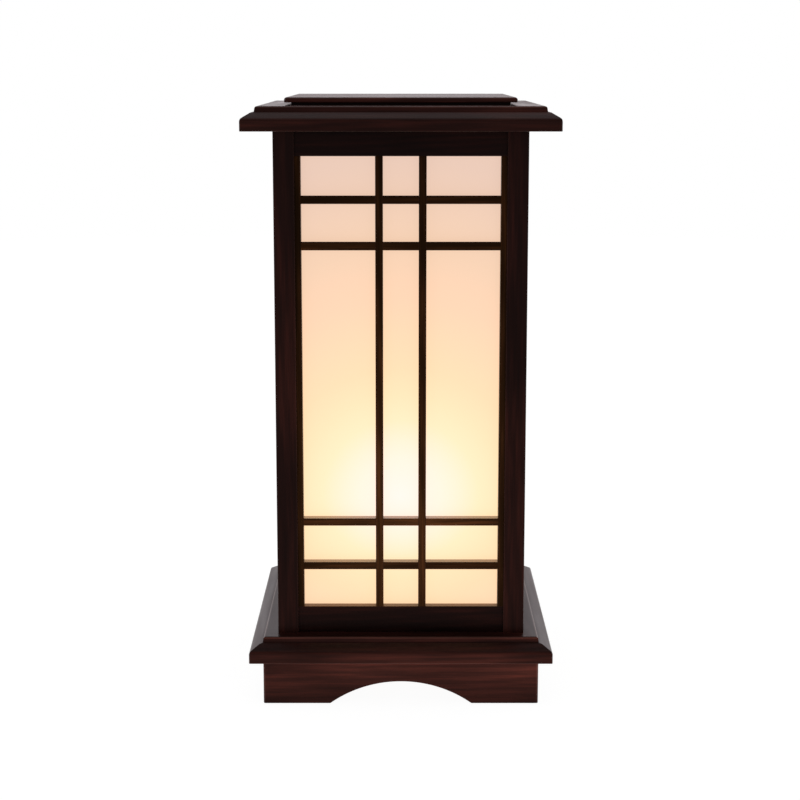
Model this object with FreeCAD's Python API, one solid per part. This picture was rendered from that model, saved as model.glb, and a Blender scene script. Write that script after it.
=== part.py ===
import FreeCAD, Part
import math
import os

os.makedirs("parts", exist_ok=True)

# A square lamp that stands on the floor: a lattice case with a frosted pane on each side, on a
# moulded base and an arched plinth, under a moulded cap with a lid that lifts off.
# Millimetres, +Z up, the front towards -Y, the origin on the floor under the lamp's middle.

# Case: four posts, with rails between them that stand back from their fronts
body_width = 205.0
post_side = 17.0
case_height = 416.5
lattice_setback = 3.0
lower_rail_height = 22.0
upper_rail_height = 20.5
rail_tenon_thickness = 6.0
rail_tenon_shoulder = 5.0
tenon_mitre_gap = 0.2

# Plinth: four mitred aprons, with a block glued in each corner. They stand out past the case.
plinth_overhang = 12.0
plinth_height = 38.0
apron_thickness = 14.0
arch_chord = 117.7
arch_rise = 19.0
block_side = 22.0
block_height = 26.0

# Moulding: one section for the base and the cap. It has an upright face, a rounded arris, a
# slope, a narrow ledge and a small step, read from the outside and from below. It stands out
# past the case's outer faces and laps in past the posts' inner faces.
base_overhang = 22.9
cap_overhang = 24.3
frame_lap = 5.5
moulding_thickness = 19.5
face_height = 9.7
slope_run = 8.2
slope_rise = 4.9
ledge_run = 2.6
ledge_rise = 0.4
riser_rake = 0.7
arris_radius = 3.5
step_radius = 1.7
foot_radius = 0.7

# Floor board, let into a rebate under the base
floor_thickness = 9.0
floor_lap = 8.0
floor_clearance = 0.25

# Lattice: stiles against the posts, two uprights and four cross bars, halved together
lattice_depth = 8.4
stile_width = 4.9
bar_width = 6.2
centre_light_width = 29.0
outer_light_height = 32.0
inner_light_height = 31.2
bar_tenon_length = 2.5
bar_tenon_thickness = 3.0
bar_tenon_shoulder = 1.1

# Panes and the beads that hold them against the lattice
pane_thickness = 2.0
pane_lap = 5.0
pane_clearance = 0.25
bead_clearance = 0.2

# Lid: a thin board with a rounded edge on a smaller block, with cleats that find the opening.
# Board and block lap over the cap's top by these.
lid_lap = 13.65
lid_block_lap = 8.15
lid_thickness = 4.1
lid_edge_radius = 2.2
lid_corner_radius = 1.4
lid_block_thickness = 2.4
cleat_width = 10.0
cleat_height = 10.0
lid_clearance = 0.5

# Fasteners
frame_screw_length = 35.0
frame_screw_radius = 2.0
frame_screw_head_radius = 3.9
frame_screw_head_height = 2.4
post_screw_offset = 4.0
block_screw_offset = 5.0
board_screw_length = 16.0
board_screw_radius = 1.5
board_screw_head_radius = 2.8
board_screw_head_height = 1.6
board_screw_spacing = 90.0
holder_screw_length = 7.5
holder_screw_radius = 1.4
holder_screw_head_radius = 2.6
holder_screw_head_height = 1.5
dowel_radius = 2.0
dowel_length = 20.0
hole_clearance = 0.1

# Bush for the lead, in the middle of the floor board
bush_bore_radius = 4.0
bush_sleeve_radius = 7.0
bush_flange_radius = 10.0
bush_flange_thickness = 2.0

# Lamp holder: a flange with a hollow stem, a cup, a core, a screw shell and a skirt
flange_radius = 30.0
flange_thickness = 1.5
flange_screw_radius = 23.0
stem_radius = 5.0
stem_bore_radius = 3.5
stem_height = 13.5
cup_foot_radius = 11.0
cup_radius = 20.0
cup_height = 19.5
cup_shoulder_height = 9.0
cup_wall = 2.6
cup_shoulder_radius = 5.0
core_thickness = 8.0
shell_bore_radius = 13.5
shell_wall = 0.6
shell_height = 22.0
shell_lip = 0.8
skirt_top_radius = 17.6
skirt_wall = 2.4
skirt_height = 28.0
skirt_edge_radius = 1.0
tongue_width = 6.0
tongue_thickness = 0.6
tongue_rise = 4.0
tongue_foot = 5.0
tongue_pad = 8.0

# Bulb: a round glass envelope on a metal screw cap
bulb_radius = 30.0
bulb_neck_radius = 13.6
bulb_neck_height = 4.0
bulb_centre_height = 76.0
bulb_wall = 1.0
cap_thread_radius = 13.2
cap_thread_height = 18.0
cap_contact_radius = 4.5
cap_contact_height = 1.4
cap_cone_radius = 10.5
cap_cone_height = 5.0
cap_collar_height = 2.4
cap_wall = 0.8

# Places that follow from the sizes above
body_half = body_width / 2
post_inside = body_half - post_side
post_centre = body_half - post_side / 2
plinth_half = body_half + plinth_overhang
plinth_inside = plinth_half - apron_thickness
opening_half = post_inside - frame_lap
base_bottom = plinth_height
case_bottom = base_bottom + moulding_thickness
case_top = case_bottom + case_height
cap_top = case_top + moulding_thickness
floor_half = opening_half + floor_lap
floor_top = base_bottom + floor_thickness
lattice_front = body_half - lattice_setback
lattice_back = lattice_front - lattice_depth
lattice_middle = lattice_front - lattice_depth / 2
pane_back = lattice_back - pane_thickness
light_half = post_inside - stile_width
light_bottom = case_bottom + lower_rail_height
light_top = case_top - upper_rail_height
upright_centre = centre_light_width / 2 + bar_width / 2
holder_bottom = floor_top
core_bottom = holder_bottom + stem_height
core_top = core_bottom + core_thickness
bulb_bottom = core_top + tongue_rise
bulb_centre = bulb_bottom + bulb_centre_height
thread_bottom = bulb_bottom + cap_contact_height + cap_cone_height
thread_top = thread_bottom + cap_thread_height
bulb_neck_bottom = thread_top + cap_collar_height

sides = ["front", "right", "back", "left"]
corners = ["front_right", "back_right", "back_left", "front_left"]
quarter_turn = 90
full_turn = 360


def place(x, y, z):
    """A point or a direction."""
    return FreeCAD.Vector(x, y, z)


up = place(0, 0, 1)
along_x = place(1, 0, 0)
along_y = place(0, 1, 0)
origin = place(0, 0, 0)


def block(low, high):
    """A box between two opposite corners."""
    size = high - low
    return Part.makeBox(size.x, size.y, size.z, low)


def prism(points, bottom, top):
    """A flat outline, given as (x, y) points, carried up from one height to another."""
    corners_3d = [place(x, y, bottom) for x, y in points]
    wire = Part.makePolygon(corners_3d + corners_3d[:1])
    return Part.Face(wire).extrude(up * (top - bottom))


def turn(shape, quarters):
    """A copy turned about the lamp's axis by so many quarter turns."""
    copy = shape.copy()
    copy.rotate(origin, up, quarter_turn * quarters)
    return copy


def rounded_outline(points, radii):
    """A face in the XZ plane, from (x, z) points, each corner rounded by its own radius."""
    corners_3d = [place(x, 0, z) for x, z in points]
    arrivals = []
    departures = []
    edges = []
    for index, corner in enumerate(corners_3d):
        back = corners_3d[index - 1] - corner
        ahead = corners_3d[(index + 1) % len(corners_3d)] - corner
        radius = radii[index]
        if radius == 0:
            arrivals.append(corner)
            departures.append(corner)
            continue
        half_angle = back.getAngle(ahead) / 2
        back.normalize()
        ahead.normalize()
        inward = back + ahead
        inward.normalize()
        arrival = corner + back * (radius / math.tan(half_angle))
        departure = corner + ahead * (radius / math.tan(half_angle))
        crown = corner + inward * (radius / math.sin(half_angle) - radius)
        arrivals.append(arrival)
        departures.append(departure)
        edges.append(Part.Arc(arrival, crown, departure).toShape())
    for index, departure in enumerate(departures):
        arrival = arrivals[(index + 1) % len(arrivals)]
        edges.append(Part.makeLine(departure, arrival))
    return Part.Face(Part.Wire(Part.__sortEdges__(edges)))


def lathe(face):
    """A face in the XZ plane turned once about the lamp's axis."""
    return face.revolve(origin, up, full_turn)


def turned(points):
    """A straight-sided outline, given as (x, z) points, turned once about the lamp's axis."""
    corners_3d = [place(x, 0, z) for x, z in points]
    return lathe(Part.Face(Part.makePolygon(corners_3d + corners_3d[:1])))


def save(name, *solids):
    """One file for each node, with one solid or a set of equal ones."""
    shape = solids[0] if len(solids) == 1 else Part.makeCompound(list(solids))
    shape.exportStep("parts/" + name + ".step")


def save_on_sides(name, maker):
    """The same piece on each of the four sides, each in its own file."""
    for quarters, side in enumerate(sides):
        save(name + "_" + side, *[turn(solid, quarters) for solid in maker()])


# Screws and dowels

def wood_screw(spot, length, radius, head_radius, head_height, gap=0):
    """A countersunk screw that points up, its head flush at the spot. A gap makes its hole."""
    screw = turned([
        (0, 0),
        (head_radius + gap, 0),
        (radius + gap, head_height),
        (radius + gap, length + gap),
        (0, length + gap),
    ])
    screw.translate(spot)
    return screw


def frame_screw(spot, gap=0):
    return wood_screw(spot, frame_screw_length, frame_screw_radius,
                      frame_screw_head_radius, frame_screw_head_height, gap)


def board_screw(spot, gap=0):
    return wood_screw(spot, board_screw_length, board_screw_radius,
                      board_screw_head_radius, board_screw_head_height, gap)


def post_spots(height):
    """Two fastenings in the front right post, one on each side of the mitre under it."""
    near = post_centre - post_screw_offset
    far = post_centre + post_screw_offset
    return [place(far, -near, height), place(near, -far, height)]


def block_spot():
    """The screw up through a corner block, clear of the mitre above it."""
    middle = plinth_inside - block_side / 2
    bottom = plinth_height - block_height
    return place(middle + block_screw_offset, -middle + block_screw_offset, bottom)


def board_spots():
    """The front pair of screws through the edge of the floor board."""
    middle = opening_half + floor_lap / 2
    half_spacing = board_screw_spacing / 2
    return [place(-half_spacing, -middle, base_bottom), place(half_spacing, -middle, base_bottom)]


def frame_screws(gap=0):
    screws = []
    for quarters in range(len(corners)):
        for spot in post_spots(base_bottom) + [block_spot()]:
            screws.append(turn(frame_screw(spot, gap), quarters))
    return screws


def board_screws(gap=0):
    screws = []
    for quarters in range(len(sides)):
        for spot in board_spots():
            screws.append(turn(board_screw(spot, gap), quarters))
    return screws


def cap_dowels(gap=0):
    dowels = []
    for quarters in range(len(corners)):
        for spot in post_spots(case_top - dowel_length / 2 - gap):
            dowel = Part.makeCylinder(dowel_radius + gap, dowel_length + 2 * gap, spot, up)
            dowels.append(turn(dowel, quarters))
    return dowels


def holder_screw(side, gap=0):
    """A flat-headed screw that points down through the flange."""
    screw = turned([
        (0, 0),
        (holder_screw_head_radius, 0),
        (holder_screw_head_radius, -holder_screw_head_height),
        (holder_screw_radius + gap, -holder_screw_head_height),
        (holder_screw_radius + gap, -holder_screw_length - gap),
        (0, -holder_screw_length - gap),
    ])
    height = holder_bottom + flange_thickness + holder_screw_head_height
    screw.translate(place(side * flange_screw_radius, 0, height))
    return screw


def holder_screws(gap=0):
    return [holder_screw(-1, gap), holder_screw(1, gap)]


# Plinth

def apron():
    """A mitred board with a flat arch cut in its lower edge."""
    board = prism([
        (-plinth_half, -plinth_half),
        (plinth_half, -plinth_half),
        (plinth_inside, -plinth_inside),
        (-plinth_inside, -plinth_inside),
    ], 0, plinth_height)
    arch_radius = ((arch_chord / 2) ** 2 + arch_rise ** 2) / (2 * arch_rise)
    centre = place(0, -plinth_half - apron_thickness, arch_rise - arch_radius)
    arch = Part.makeCylinder(arch_radius, 3 * apron_thickness, centre, along_y)
    return [board.cut(arch)]


def corner_blocks():
    low = place(plinth_inside - block_side, -plinth_inside, plinth_height - block_height)
    high = place(plinth_inside, -plinth_inside + block_side, plinth_height)
    holes = frame_screws(hole_clearance)
    return [turn(block(low, high), quarters).cut(holes) for quarters in range(len(corners))]


# Base and cap

def moulding(overhang, bottom):
    """The front piece of a mitred frame that has the moulding along its outer edge."""
    half = body_half + overhang
    slope_end = half - slope_run
    ledge_end = slope_end - ledge_run
    top = bottom + moulding_thickness
    slope_top = bottom + face_height + slope_rise
    points = [
        (half, bottom),
        (half, bottom + face_height),
        (slope_end, slope_top),
        (ledge_end, slope_top + ledge_rise),
        (ledge_end - riser_rake, top),
        (opening_half, top),
        (opening_half, bottom),
    ]
    section = rounded_outline(points, [foot_radius, arris_radius, 0, 0, step_radius, 0, 0])
    section.rotate(origin, up, -quarter_turn)
    section.translate(place(-half, 0, 0))
    bar = section.extrude(along_x * 2 * half)
    wedge = prism([(0, 0), (-half, -half), (half, -half)], bottom, top)
    return bar.common(wedge)


def base_moulding():
    recess = block(place(-floor_half, -floor_half, base_bottom),
                   place(floor_half, floor_half, floor_top))
    holes = frame_screws(hole_clearance) + board_screws(hole_clearance)
    return [moulding(base_overhang, base_bottom).cut([recess] + holes)]


def cap_moulding():
    return [moulding(cap_overhang, case_top).cut(cap_dowels(hole_clearance))]


def floor_board():
    half = floor_half - floor_clearance
    board = block(place(-half, -half, base_bottom), place(half, half, floor_top))
    bush_hole = Part.makeCylinder(bush_sleeve_radius + hole_clearance, floor_thickness,
                                  place(0, 0, base_bottom), up)
    return [board.cut([bush_hole] + board_screws(hole_clearance) + holder_screws(hole_clearance))]


# Case

def tenon_pair(bottom, top, gap=0):
    """The stub tenons of the front rail, mitred where they meet those of the next rail."""
    middle = (lattice_front + post_inside) / 2
    near = middle - rail_tenon_thickness / 2
    far = middle + rail_tenon_thickness / 2
    low = bottom + rail_tenon_shoulder
    high = top - rail_tenon_shoulder
    pair = []
    for side in (-1, 1):
        pair.append(prism([
            (side * post_inside, -far),
            (side * post_inside, -near),
            (side * (near - gap), -near),
            (side * (far - gap), -far),
        ], low, high))
    return pair


def post():
    """The front right post, with its mortises and the holes in its ends."""
    body = block(place(post_inside, -body_half, case_bottom),
                 place(body_half, -post_inside, case_top))
    mortises = []
    for low, high in ((case_bottom, light_bottom), (light_top, case_top)):
        left, right = tenon_pair(low, high)
        mortises += [right, turn(left, 1)]
    return body.cut(mortises + frame_screws(hole_clearance) + cap_dowels(hole_clearance))


def rail(bottom, top, rebate_bottom):
    """A rail with its tenons, a rebate for pane and bead, and mortises for the uprights."""
    body = block(place(-post_inside, -lattice_front, bottom),
                 place(post_inside, -post_inside, top))
    rebate = block(place(-post_inside, -lattice_back, rebate_bottom),
                   place(post_inside, -post_inside, rebate_bottom + pane_lap))
    body = body.fuse(tenon_pair(bottom, top, tenon_mitre_gap)).removeSplitter()
    return [body.cut([rebate] + upright_tenons())]


def lower_rail():
    return rail(case_bottom, light_bottom, light_bottom - pane_lap)


def upper_rail():
    return rail(light_top, case_top, light_top)


# Lattice

def cross_bar_heights():
    """The lower edge of each of the four cross bars."""
    low_pair = [light_bottom + outer_light_height,
                light_bottom + outer_light_height + bar_width + inner_light_height]
    high_pair = [light_top - outer_light_height - 2 * bar_width - inner_light_height,
                 light_top - outer_light_height - bar_width]
    return low_pair + high_pair


def upright_tenons():
    """The stubs at both ends of the two uprights."""
    half_width = bar_width / 2 - bar_tenon_shoulder
    half_depth = bar_tenon_thickness / 2
    stubs = []
    for centre in (-upright_centre, upright_centre):
        for low in (light_bottom - bar_tenon_length, light_top):
            stubs.append(block(
                place(centre - half_width, -lattice_middle - half_depth, low),
                place(centre + half_width, -lattice_middle + half_depth, low + bar_tenon_length)))
    return stubs


def cross_bar_tenons(height):
    """The stubs at both ends of one cross bar."""
    half_depth = bar_tenon_thickness / 2
    low = height + bar_tenon_shoulder
    high = height + bar_width - bar_tenon_shoulder
    stubs = []
    for start in (-light_half - bar_tenon_length, light_half):
        stubs.append(block(place(start, -lattice_middle - half_depth, low),
                           place(start + bar_tenon_length, -lattice_middle + half_depth, high)))
    return stubs


def lattice_uprights():
    """Two uprights, cut away behind at each cross bar."""
    stubs = upright_tenons()
    bars = []
    for index, centre in enumerate((-upright_centre, upright_centre)):
        left = centre - bar_width / 2
        right = centre + bar_width / 2
        bar = block(place(left, -lattice_front, light_bottom),
                    place(right, -lattice_back, light_top))
        notches = [block(place(left, -lattice_middle, height),
                         place(right, -lattice_back, height + bar_width))
                   for height in cross_bar_heights()]
        bars.append(bar.fuse(stubs[2 * index:2 * index + 2]).removeSplitter().cut(notches))
    return bars


def lattice_cross_bars():
    """Four cross bars, cut away in front at each upright."""
    bars = []
    for height in cross_bar_heights():
        bar = block(place(-light_half, -lattice_front, height),
                    place(light_half, -lattice_back, height + bar_width))
        notches = [block(place(centre - bar_width / 2, -lattice_front, height),
                         place(centre + bar_width / 2, -lattice_middle, height + bar_width))
                   for centre in (-upright_centre, upright_centre)]
        bars.append(bar.fuse(cross_bar_tenons(height)).removeSplitter().cut(notches))
    return bars


def lattice_stiles():
    """Two thin stiles against the posts, with mortises for the cross bars."""
    mortises = []
    for height in cross_bar_heights():
        mortises += cross_bar_tenons(height)
    stiles = []
    for start in (-post_inside, light_half):
        stile = block(place(start, -lattice_front, light_bottom),
                      place(start + stile_width, -lattice_back, light_top))
        stiles.append(stile.cut(mortises))
    return stiles


# Panes and beads

def pane():
    half = post_inside - pane_clearance
    low = light_bottom - pane_lap + pane_clearance
    high = light_top + pane_lap - pane_clearance
    return [block(place(-half, -lattice_back, low), place(half, -pane_back, high))]


def level_beads():
    half = post_inside - bead_clearance
    return [block(place(-half, -pane_back, low), place(half, -post_inside, low + pane_lap))
            for low in (light_bottom - pane_lap, light_top)]


def upright_beads():
    low = light_bottom + bead_clearance
    high = light_top - bead_clearance
    return [block(place(start, -pane_back, low), place(start + pane_lap, -post_inside, high))
            for start in (-post_inside, post_inside - pane_lap)]


# Lid

def lid_board():
    """A thin board whose upper edge and corners are rounded over."""
    half = opening_half + lid_lap
    bottom = cap_top + lid_block_thickness
    board = block(place(-half, -half, bottom), place(half, half, bottom + lid_thickness))
    upright_edges = [edge for edge in board.Edges
                     if edge.Vertexes[0].Z != edge.Vertexes[1].Z]
    board = board.makeFillet(lid_corner_radius, upright_edges)
    top_edges = [edge for edge in board.Edges
                 if min(vertex.Z for vertex in edge.Vertexes) > bottom + lid_thickness / 2]
    return board.makeFillet(lid_edge_radius, top_edges)


def lid_block():
    half = opening_half + lid_block_lap
    return block(place(-half, -half, cap_top), place(half, half, cap_top + lid_block_thickness))


def lid_cleats():
    """Four mitred cleats under the lid, just inside the opening of the cap."""
    outside = opening_half - lid_clearance
    inside = outside - cleat_width
    cleat = prism([(-outside, -outside), (outside, -outside), (inside, -inside), (-inside, -inside)],
                  cap_top - cleat_height, cap_top)
    return [turn(cleat, quarters) for quarters in range(len(sides))]


# Bush and lamp holder

def lead_bush():
    """A sleeve through the floor board, with a flange under it."""
    return turned([
        (bush_bore_radius, floor_top),
        (bush_bore_radius, base_bottom - bush_flange_thickness),
        (bush_flange_radius, base_bottom - bush_flange_thickness),
        (bush_flange_radius, base_bottom),
        (bush_sleeve_radius, base_bottom),
        (bush_sleeve_radius, floor_top),
    ])


def holder_flange():
    """A steel disc with a hollow stem, screwed to the floor board."""
    top = holder_bottom + flange_thickness
    flange = turned([
        (stem_bore_radius, holder_bottom),
        (flange_radius, holder_bottom),
        (flange_radius, top),
        (stem_radius, top),
        (stem_radius, core_bottom),
        (stem_bore_radius, core_bottom),
    ])
    return flange.cut(holder_screws(hole_clearance))


def holder_cup():
    """The lower half of the casing: a foot round the stem that opens to a cup."""
    bottom = holder_bottom + flange_thickness
    shoulder = bottom + cup_shoulder_height
    points = [
        (stem_radius, bottom),
        (cup_foot_radius, bottom),
        (cup_radius, shoulder),
        (cup_radius, bottom + cup_height),
        (cup_radius - cup_wall, bottom + cup_height),
        (cup_radius - cup_wall, core_bottom),
        (stem_radius, core_bottom),
    ]
    return lathe(rounded_outline(points, [0, 0, cup_shoulder_radius, 0, 0, 0, 0]))


def holder_core():
    """The insulating disc in the cup, which carries the screw shell and the contact tongue."""
    radius = cup_radius - cup_wall - hole_clearance
    return Part.makeCylinder(radius, core_thickness, place(0, 0, core_bottom), up)


def holder_tongue():
    """A springy strip, flat on the core at one end and raised under the bulb at the other."""
    pad_start = -tongue_pad / 2
    rise_start = pad_start - tongue_rise
    foot_start = rise_start - tongue_foot
    foot_top = core_top + tongue_thickness
    pad_top = core_top + tongue_rise
    points = [
        (foot_start, core_top),
        (rise_start, core_top),
        (pad_start, pad_top - tongue_thickness),
        (-pad_start, pad_top - tongue_thickness),
        (-pad_start, pad_top),
        (pad_start, pad_top),
        (rise_start, foot_top),
        (foot_start, foot_top),
    ]
    corners_3d = [place(x, -tongue_width / 2, z) for x, z in points]
    strip = Part.Face(Part.makePolygon(corners_3d + corners_3d[:1]))
    return strip.extrude(along_y * tongue_width)


def holder_shell():
    """The thin metal sleeve that takes the bulb's thread, with its mouth turned out."""
    outside = shell_bore_radius + shell_wall
    top = core_top + shell_height
    return turned([
        (shell_bore_radius, core_top),
        (outside, core_top),
        (outside, top - shell_wall),
        (outside + shell_lip, top - shell_wall),
        (outside + shell_lip, top),
        (shell_bore_radius, top),
    ])


def holder_skirt():
    """The upper half of the casing, which screws down on the cup round the shell."""
    bottom = holder_bottom + flange_thickness + cup_height
    points = [
        (cup_radius - skirt_wall, bottom),
        (cup_radius, bottom),
        (skirt_top_radius, bottom + skirt_height),
        (skirt_top_radius - skirt_wall, bottom + skirt_height),
    ]
    return lathe(rounded_outline(points, [0, 0, skirt_edge_radius, 0]))


# Bulb

def envelope_outline(shrink):
    """Points on the glass, or on its inside: up the neck, out along a cone, over the globe."""
    radius = bulb_radius - shrink
    neck = bulb_neck_radius - shrink
    cone_start = bulb_neck_bottom + bulb_neck_height
    drop = bulb_centre - cone_start
    cone_angle = math.atan2(neck, drop) + math.acos(radius / math.hypot(neck, drop))
    angles = [cone_angle, (cone_angle + math.pi) / 2, math.pi]
    globe = [place(radius * math.sin(angle), 0, bulb_centre - radius * math.cos(angle))
             for angle in angles]
    return [place(neck, 0, bulb_neck_bottom), place(neck, 0, cone_start)] + globe


def bulb_glass():
    """A thin envelope, open below where it stands on the cap."""
    foot, bend, cone_end, halfway, crown = envelope_outline(0)
    in_foot, in_bend, in_cone_end, in_halfway, in_crown = envelope_outline(bulb_wall)
    edges = [
        Part.makeLine(foot, bend),
        Part.makeLine(bend, cone_end),
        Part.Arc(cone_end, halfway, crown).toShape(),
        Part.makeLine(crown, in_crown),
        Part.Arc(in_crown, in_halfway, in_cone_end).toShape(),
        Part.makeLine(in_cone_end, in_bend),
        Part.makeLine(in_bend, in_foot),
        Part.makeLine(in_foot, foot),
    ]
    return lathe(Part.Face(Part.Wire(edges)))


def bulb_cap():
    """A thin metal cap: a flat contact, a cone, the round part that takes the thread, a collar."""
    cone_bottom = bulb_bottom + cap_contact_height
    inside = cap_thread_radius - cap_wall
    return turned([
        (0, bulb_bottom),
        (cap_contact_radius, bulb_bottom),
        (cap_contact_radius, cone_bottom),
        (cap_cone_radius, thread_bottom),
        (cap_thread_radius, thread_bottom),
        (cap_thread_radius, thread_top),
        (bulb_neck_radius, thread_top),
        (bulb_neck_radius, bulb_neck_bottom),
        (inside, bulb_neck_bottom),
        (inside, thread_bottom + cap_wall),
        (0, thread_bottom + cap_wall),
    ])


# The pieces, each in its own file

save_on_sides("plinth", apron)
save("plinth_corner_blocks", *corner_blocks())

save_on_sides("base_moulding", base_moulding)
save("floor_board", *floor_board())
save("frame_screws", *frame_screws())
save("board_screws", *board_screws())

for quarters, corner in enumerate(corners):
    save("post_" + corner, turn(post(), quarters))
save_on_sides("lower_rail", lower_rail)
save_on_sides("upper_rail", upper_rail)

save_on_sides("lattice_stiles", lattice_stiles)
save_on_sides("lattice_uprights", lattice_uprights)
save_on_sides("lattice_cross_bars", lattice_cross_bars)
save_on_sides("pane", pane)
save("level_beads", *[turn(bead, q) for q in range(len(sides)) for bead in level_beads()])
save("upright_beads", *[turn(bead, q) for q in range(len(sides)) for bead in upright_beads()])

save_on_sides("cap_moulding", cap_moulding)
save("cap_dowels", *cap_dowels())
save("lid_board", lid_board())
save("lid_block", lid_block())
save("lid_cleats", *lid_cleats())

save("lead_bush", lead_bush())
save("holder_flange", holder_flange())
save("holder_screws", *holder_screws())
save("holder_cup", holder_cup())
save("holder_core", holder_core())
save("holder_tongue", holder_tongue())
save("holder_shell", holder_shell())
save("holder_skirt", holder_skirt())
save("bulb_glass", bulb_glass())
save("bulb_cap", bulb_cap())
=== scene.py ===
# %% [markdown]
# # A square lattice lamp that stands on the floor
#
# The lamp is a dark lacquered case on an arched plinth. Each side is a wooden lattice with a
# frosted pane behind it, and a round bulb low in the case makes the panes glow. A stepped
# moulding runs round the base and the cap, and a thin lid closes the cap.
#
# The frame holds every part at its real size, so each new piece starts from the box of the part
# that it stands for. Lengths are in metres, the front faces -Y, and the floor is at z = 0.

# %% Load the frame
import math

import bmesh
import bpy
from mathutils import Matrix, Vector


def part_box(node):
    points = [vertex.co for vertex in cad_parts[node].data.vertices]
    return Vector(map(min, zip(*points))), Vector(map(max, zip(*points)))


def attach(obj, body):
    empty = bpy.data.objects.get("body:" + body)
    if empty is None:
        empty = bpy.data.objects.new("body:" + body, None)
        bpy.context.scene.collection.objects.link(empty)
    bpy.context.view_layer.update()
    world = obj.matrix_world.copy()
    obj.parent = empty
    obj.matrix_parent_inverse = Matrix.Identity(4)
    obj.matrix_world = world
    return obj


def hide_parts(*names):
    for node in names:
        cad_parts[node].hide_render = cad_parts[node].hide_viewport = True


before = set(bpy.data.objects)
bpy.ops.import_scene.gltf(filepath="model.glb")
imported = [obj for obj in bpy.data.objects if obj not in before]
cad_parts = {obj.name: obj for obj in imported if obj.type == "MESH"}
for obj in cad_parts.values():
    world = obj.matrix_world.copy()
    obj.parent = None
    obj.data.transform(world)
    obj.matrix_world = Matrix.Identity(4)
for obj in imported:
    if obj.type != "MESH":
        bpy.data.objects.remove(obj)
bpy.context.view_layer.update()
MM = 0.001

# %% [markdown]
# ## Places that several pieces share
#
# A lamp like this is built outwards from its posts, so most places come from four boxes: a post,
# a lower rail, an upper rail and the lattice. They are measured once, here. The front is made
# first and the other three sides are quarter turns of it, counter-clockwise seen from above.

# %% Measure the case
SIDES = ["front", "right", "back", "left"]
CORNERS = ["front_right", "back_right", "back_left", "front_left"]
QUARTER = math.pi / 2

post_low, post_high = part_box("post_front_right")
post_inside = post_low.x
case_bottom = post_low.z
case_top = post_high.z
light_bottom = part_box("lower_rail_front")[1].z
light_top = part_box("upper_rail_front")[0].z
stiles_low, stiles_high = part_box("lattice_stiles_front")
lattice_front = -stiles_low.y
lattice_back = -stiles_high.y
print("case:", round(2 * post_high.x / MM, 1), "mm wide, lattice opening",
      round((light_top - light_bottom) / MM, 1), "mm high")

# %% [markdown]
# ## Camera
#
# The photograph was taken from a little above the middle, about a metre and a half away, and the
# lens axis points slightly down. The lens, its distance and its height were worked out from the
# known sizes of the cap, the base and the panes. A small shift keeps the lamp in the middle.

# %% Place the camera
CAMERA_LENS = 79.67
SENSOR_WIDTH = 36
CAMERA_PLACE = (-0.0007, -1.5247, 0.5250)
CAMERA_PITCH = math.radians(9.757)
CAMERA_SHIFT = -0.0375

bpy.ops.object.camera_add(location=CAMERA_PLACE, rotation=(QUARTER - CAMERA_PITCH, 0, 0))
camera = bpy.context.object
camera.data.lens = CAMERA_LENS
camera.data.sensor_width = SENSOR_WIDTH
camera.data.shift_y = CAMERA_SHIFT
bpy.context.scene.camera = camera
print("camera:", camera.data.lens, "mm lens,", round(-camera.location.y, 2), "m in front")

# %% [markdown]
# ## Helpers for materials
#
# Every finish is a small node tree round one Principled shader. These helpers make the material,
# add a node and give its inputs a value or another node's output, so that each finish below reads
# as a short recipe.

# %% Make a material and add nodes
def new_material(name):
    """A material and its node tree, which holds one Principled shader."""
    material = bpy.data.materials.new(name)
    material.use_nodes = True
    return material, material.node_tree


def set_inputs(tree, node, inputs):
    """Gives each named input a plain value, or joins another node's output to it."""
    for name, given in inputs.items():
        if isinstance(given, bpy.types.NodeSocket):
            tree.links.new(given, node.inputs[name])
        else:
            node.inputs[name].default_value = given


def set_shader(tree, inputs):
    """Gives the Principled shader its inputs."""
    set_inputs(tree, tree.nodes["Principled BSDF"], inputs)


def add_node(tree, kind, inputs, **settings):
    """Adds a node, sets it up and gives it its inputs."""
    node = tree.nodes.new(kind)
    for name, value in settings.items():
        setattr(node, name, value)
    set_inputs(tree, node, inputs)
    return node


# %% [markdown]
# The same few nodes come back in every finish: the place of a point, noise, a sum, a change of
# range, a colour ramp and a bump. Each has a helper that adds it and hands on its output.

# %% Nodes that every finish needs
def point_on_lamp(tree):
    """The place of a point, in metres."""
    return add_node(tree, "ShaderNodeTexCoord", {}).outputs["Object"]


def parts_of(tree, vector):
    """The X, Y and Z of a vector."""
    return add_node(tree, "ShaderNodeSeparateXYZ", {"Vector": vector}).outputs


def noise(tree, place, scale, detail=2, roughness=0.5):
    """Noise with so many features in a metre."""
    return add_node(tree, "ShaderNodeTexNoise", {
        "Vector": place, "Scale": scale, "Detail": detail, "Roughness": roughness}).outputs["Fac"]


def calculate(tree, operation, first, second):
    """One operation on two values."""
    return add_node(tree, "ShaderNodeMath", {0: first, 1: second},
                    operation=operation).outputs["Value"]


def change_range(tree, value, old, new):
    """Takes a value that runs over the old range to the same place in the new one."""
    return add_node(tree, "ShaderNodeMapRange", {
        "Value": value, "From Min": old[0], "From Max": old[1],
        "To Min": new[0], "To Max": new[1]}).outputs["Result"]


def colour_ramp(tree, value, stops):
    """A colour for each value. A stop is a place from 0 to 1 and a colour."""
    ramp = add_node(tree, "ShaderNodeValToRGB", {"Fac": value})
    elements = ramp.color_ramp.elements
    while len(elements) < len(stops):
        elements.new(1)
    for element, (position, colour) in zip(elements, stops):
        element.position = position
        element.color = (*colour, 1)
    return ramp.outputs["Color"]


def relief(tree, height, strength, depth):
    """Fine relief, as a normal for the shader."""
    return add_node(tree, "ShaderNodeBump", {
        "Height": height, "Strength": strength, "Distance": depth}).outputs["Normal"]


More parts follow.
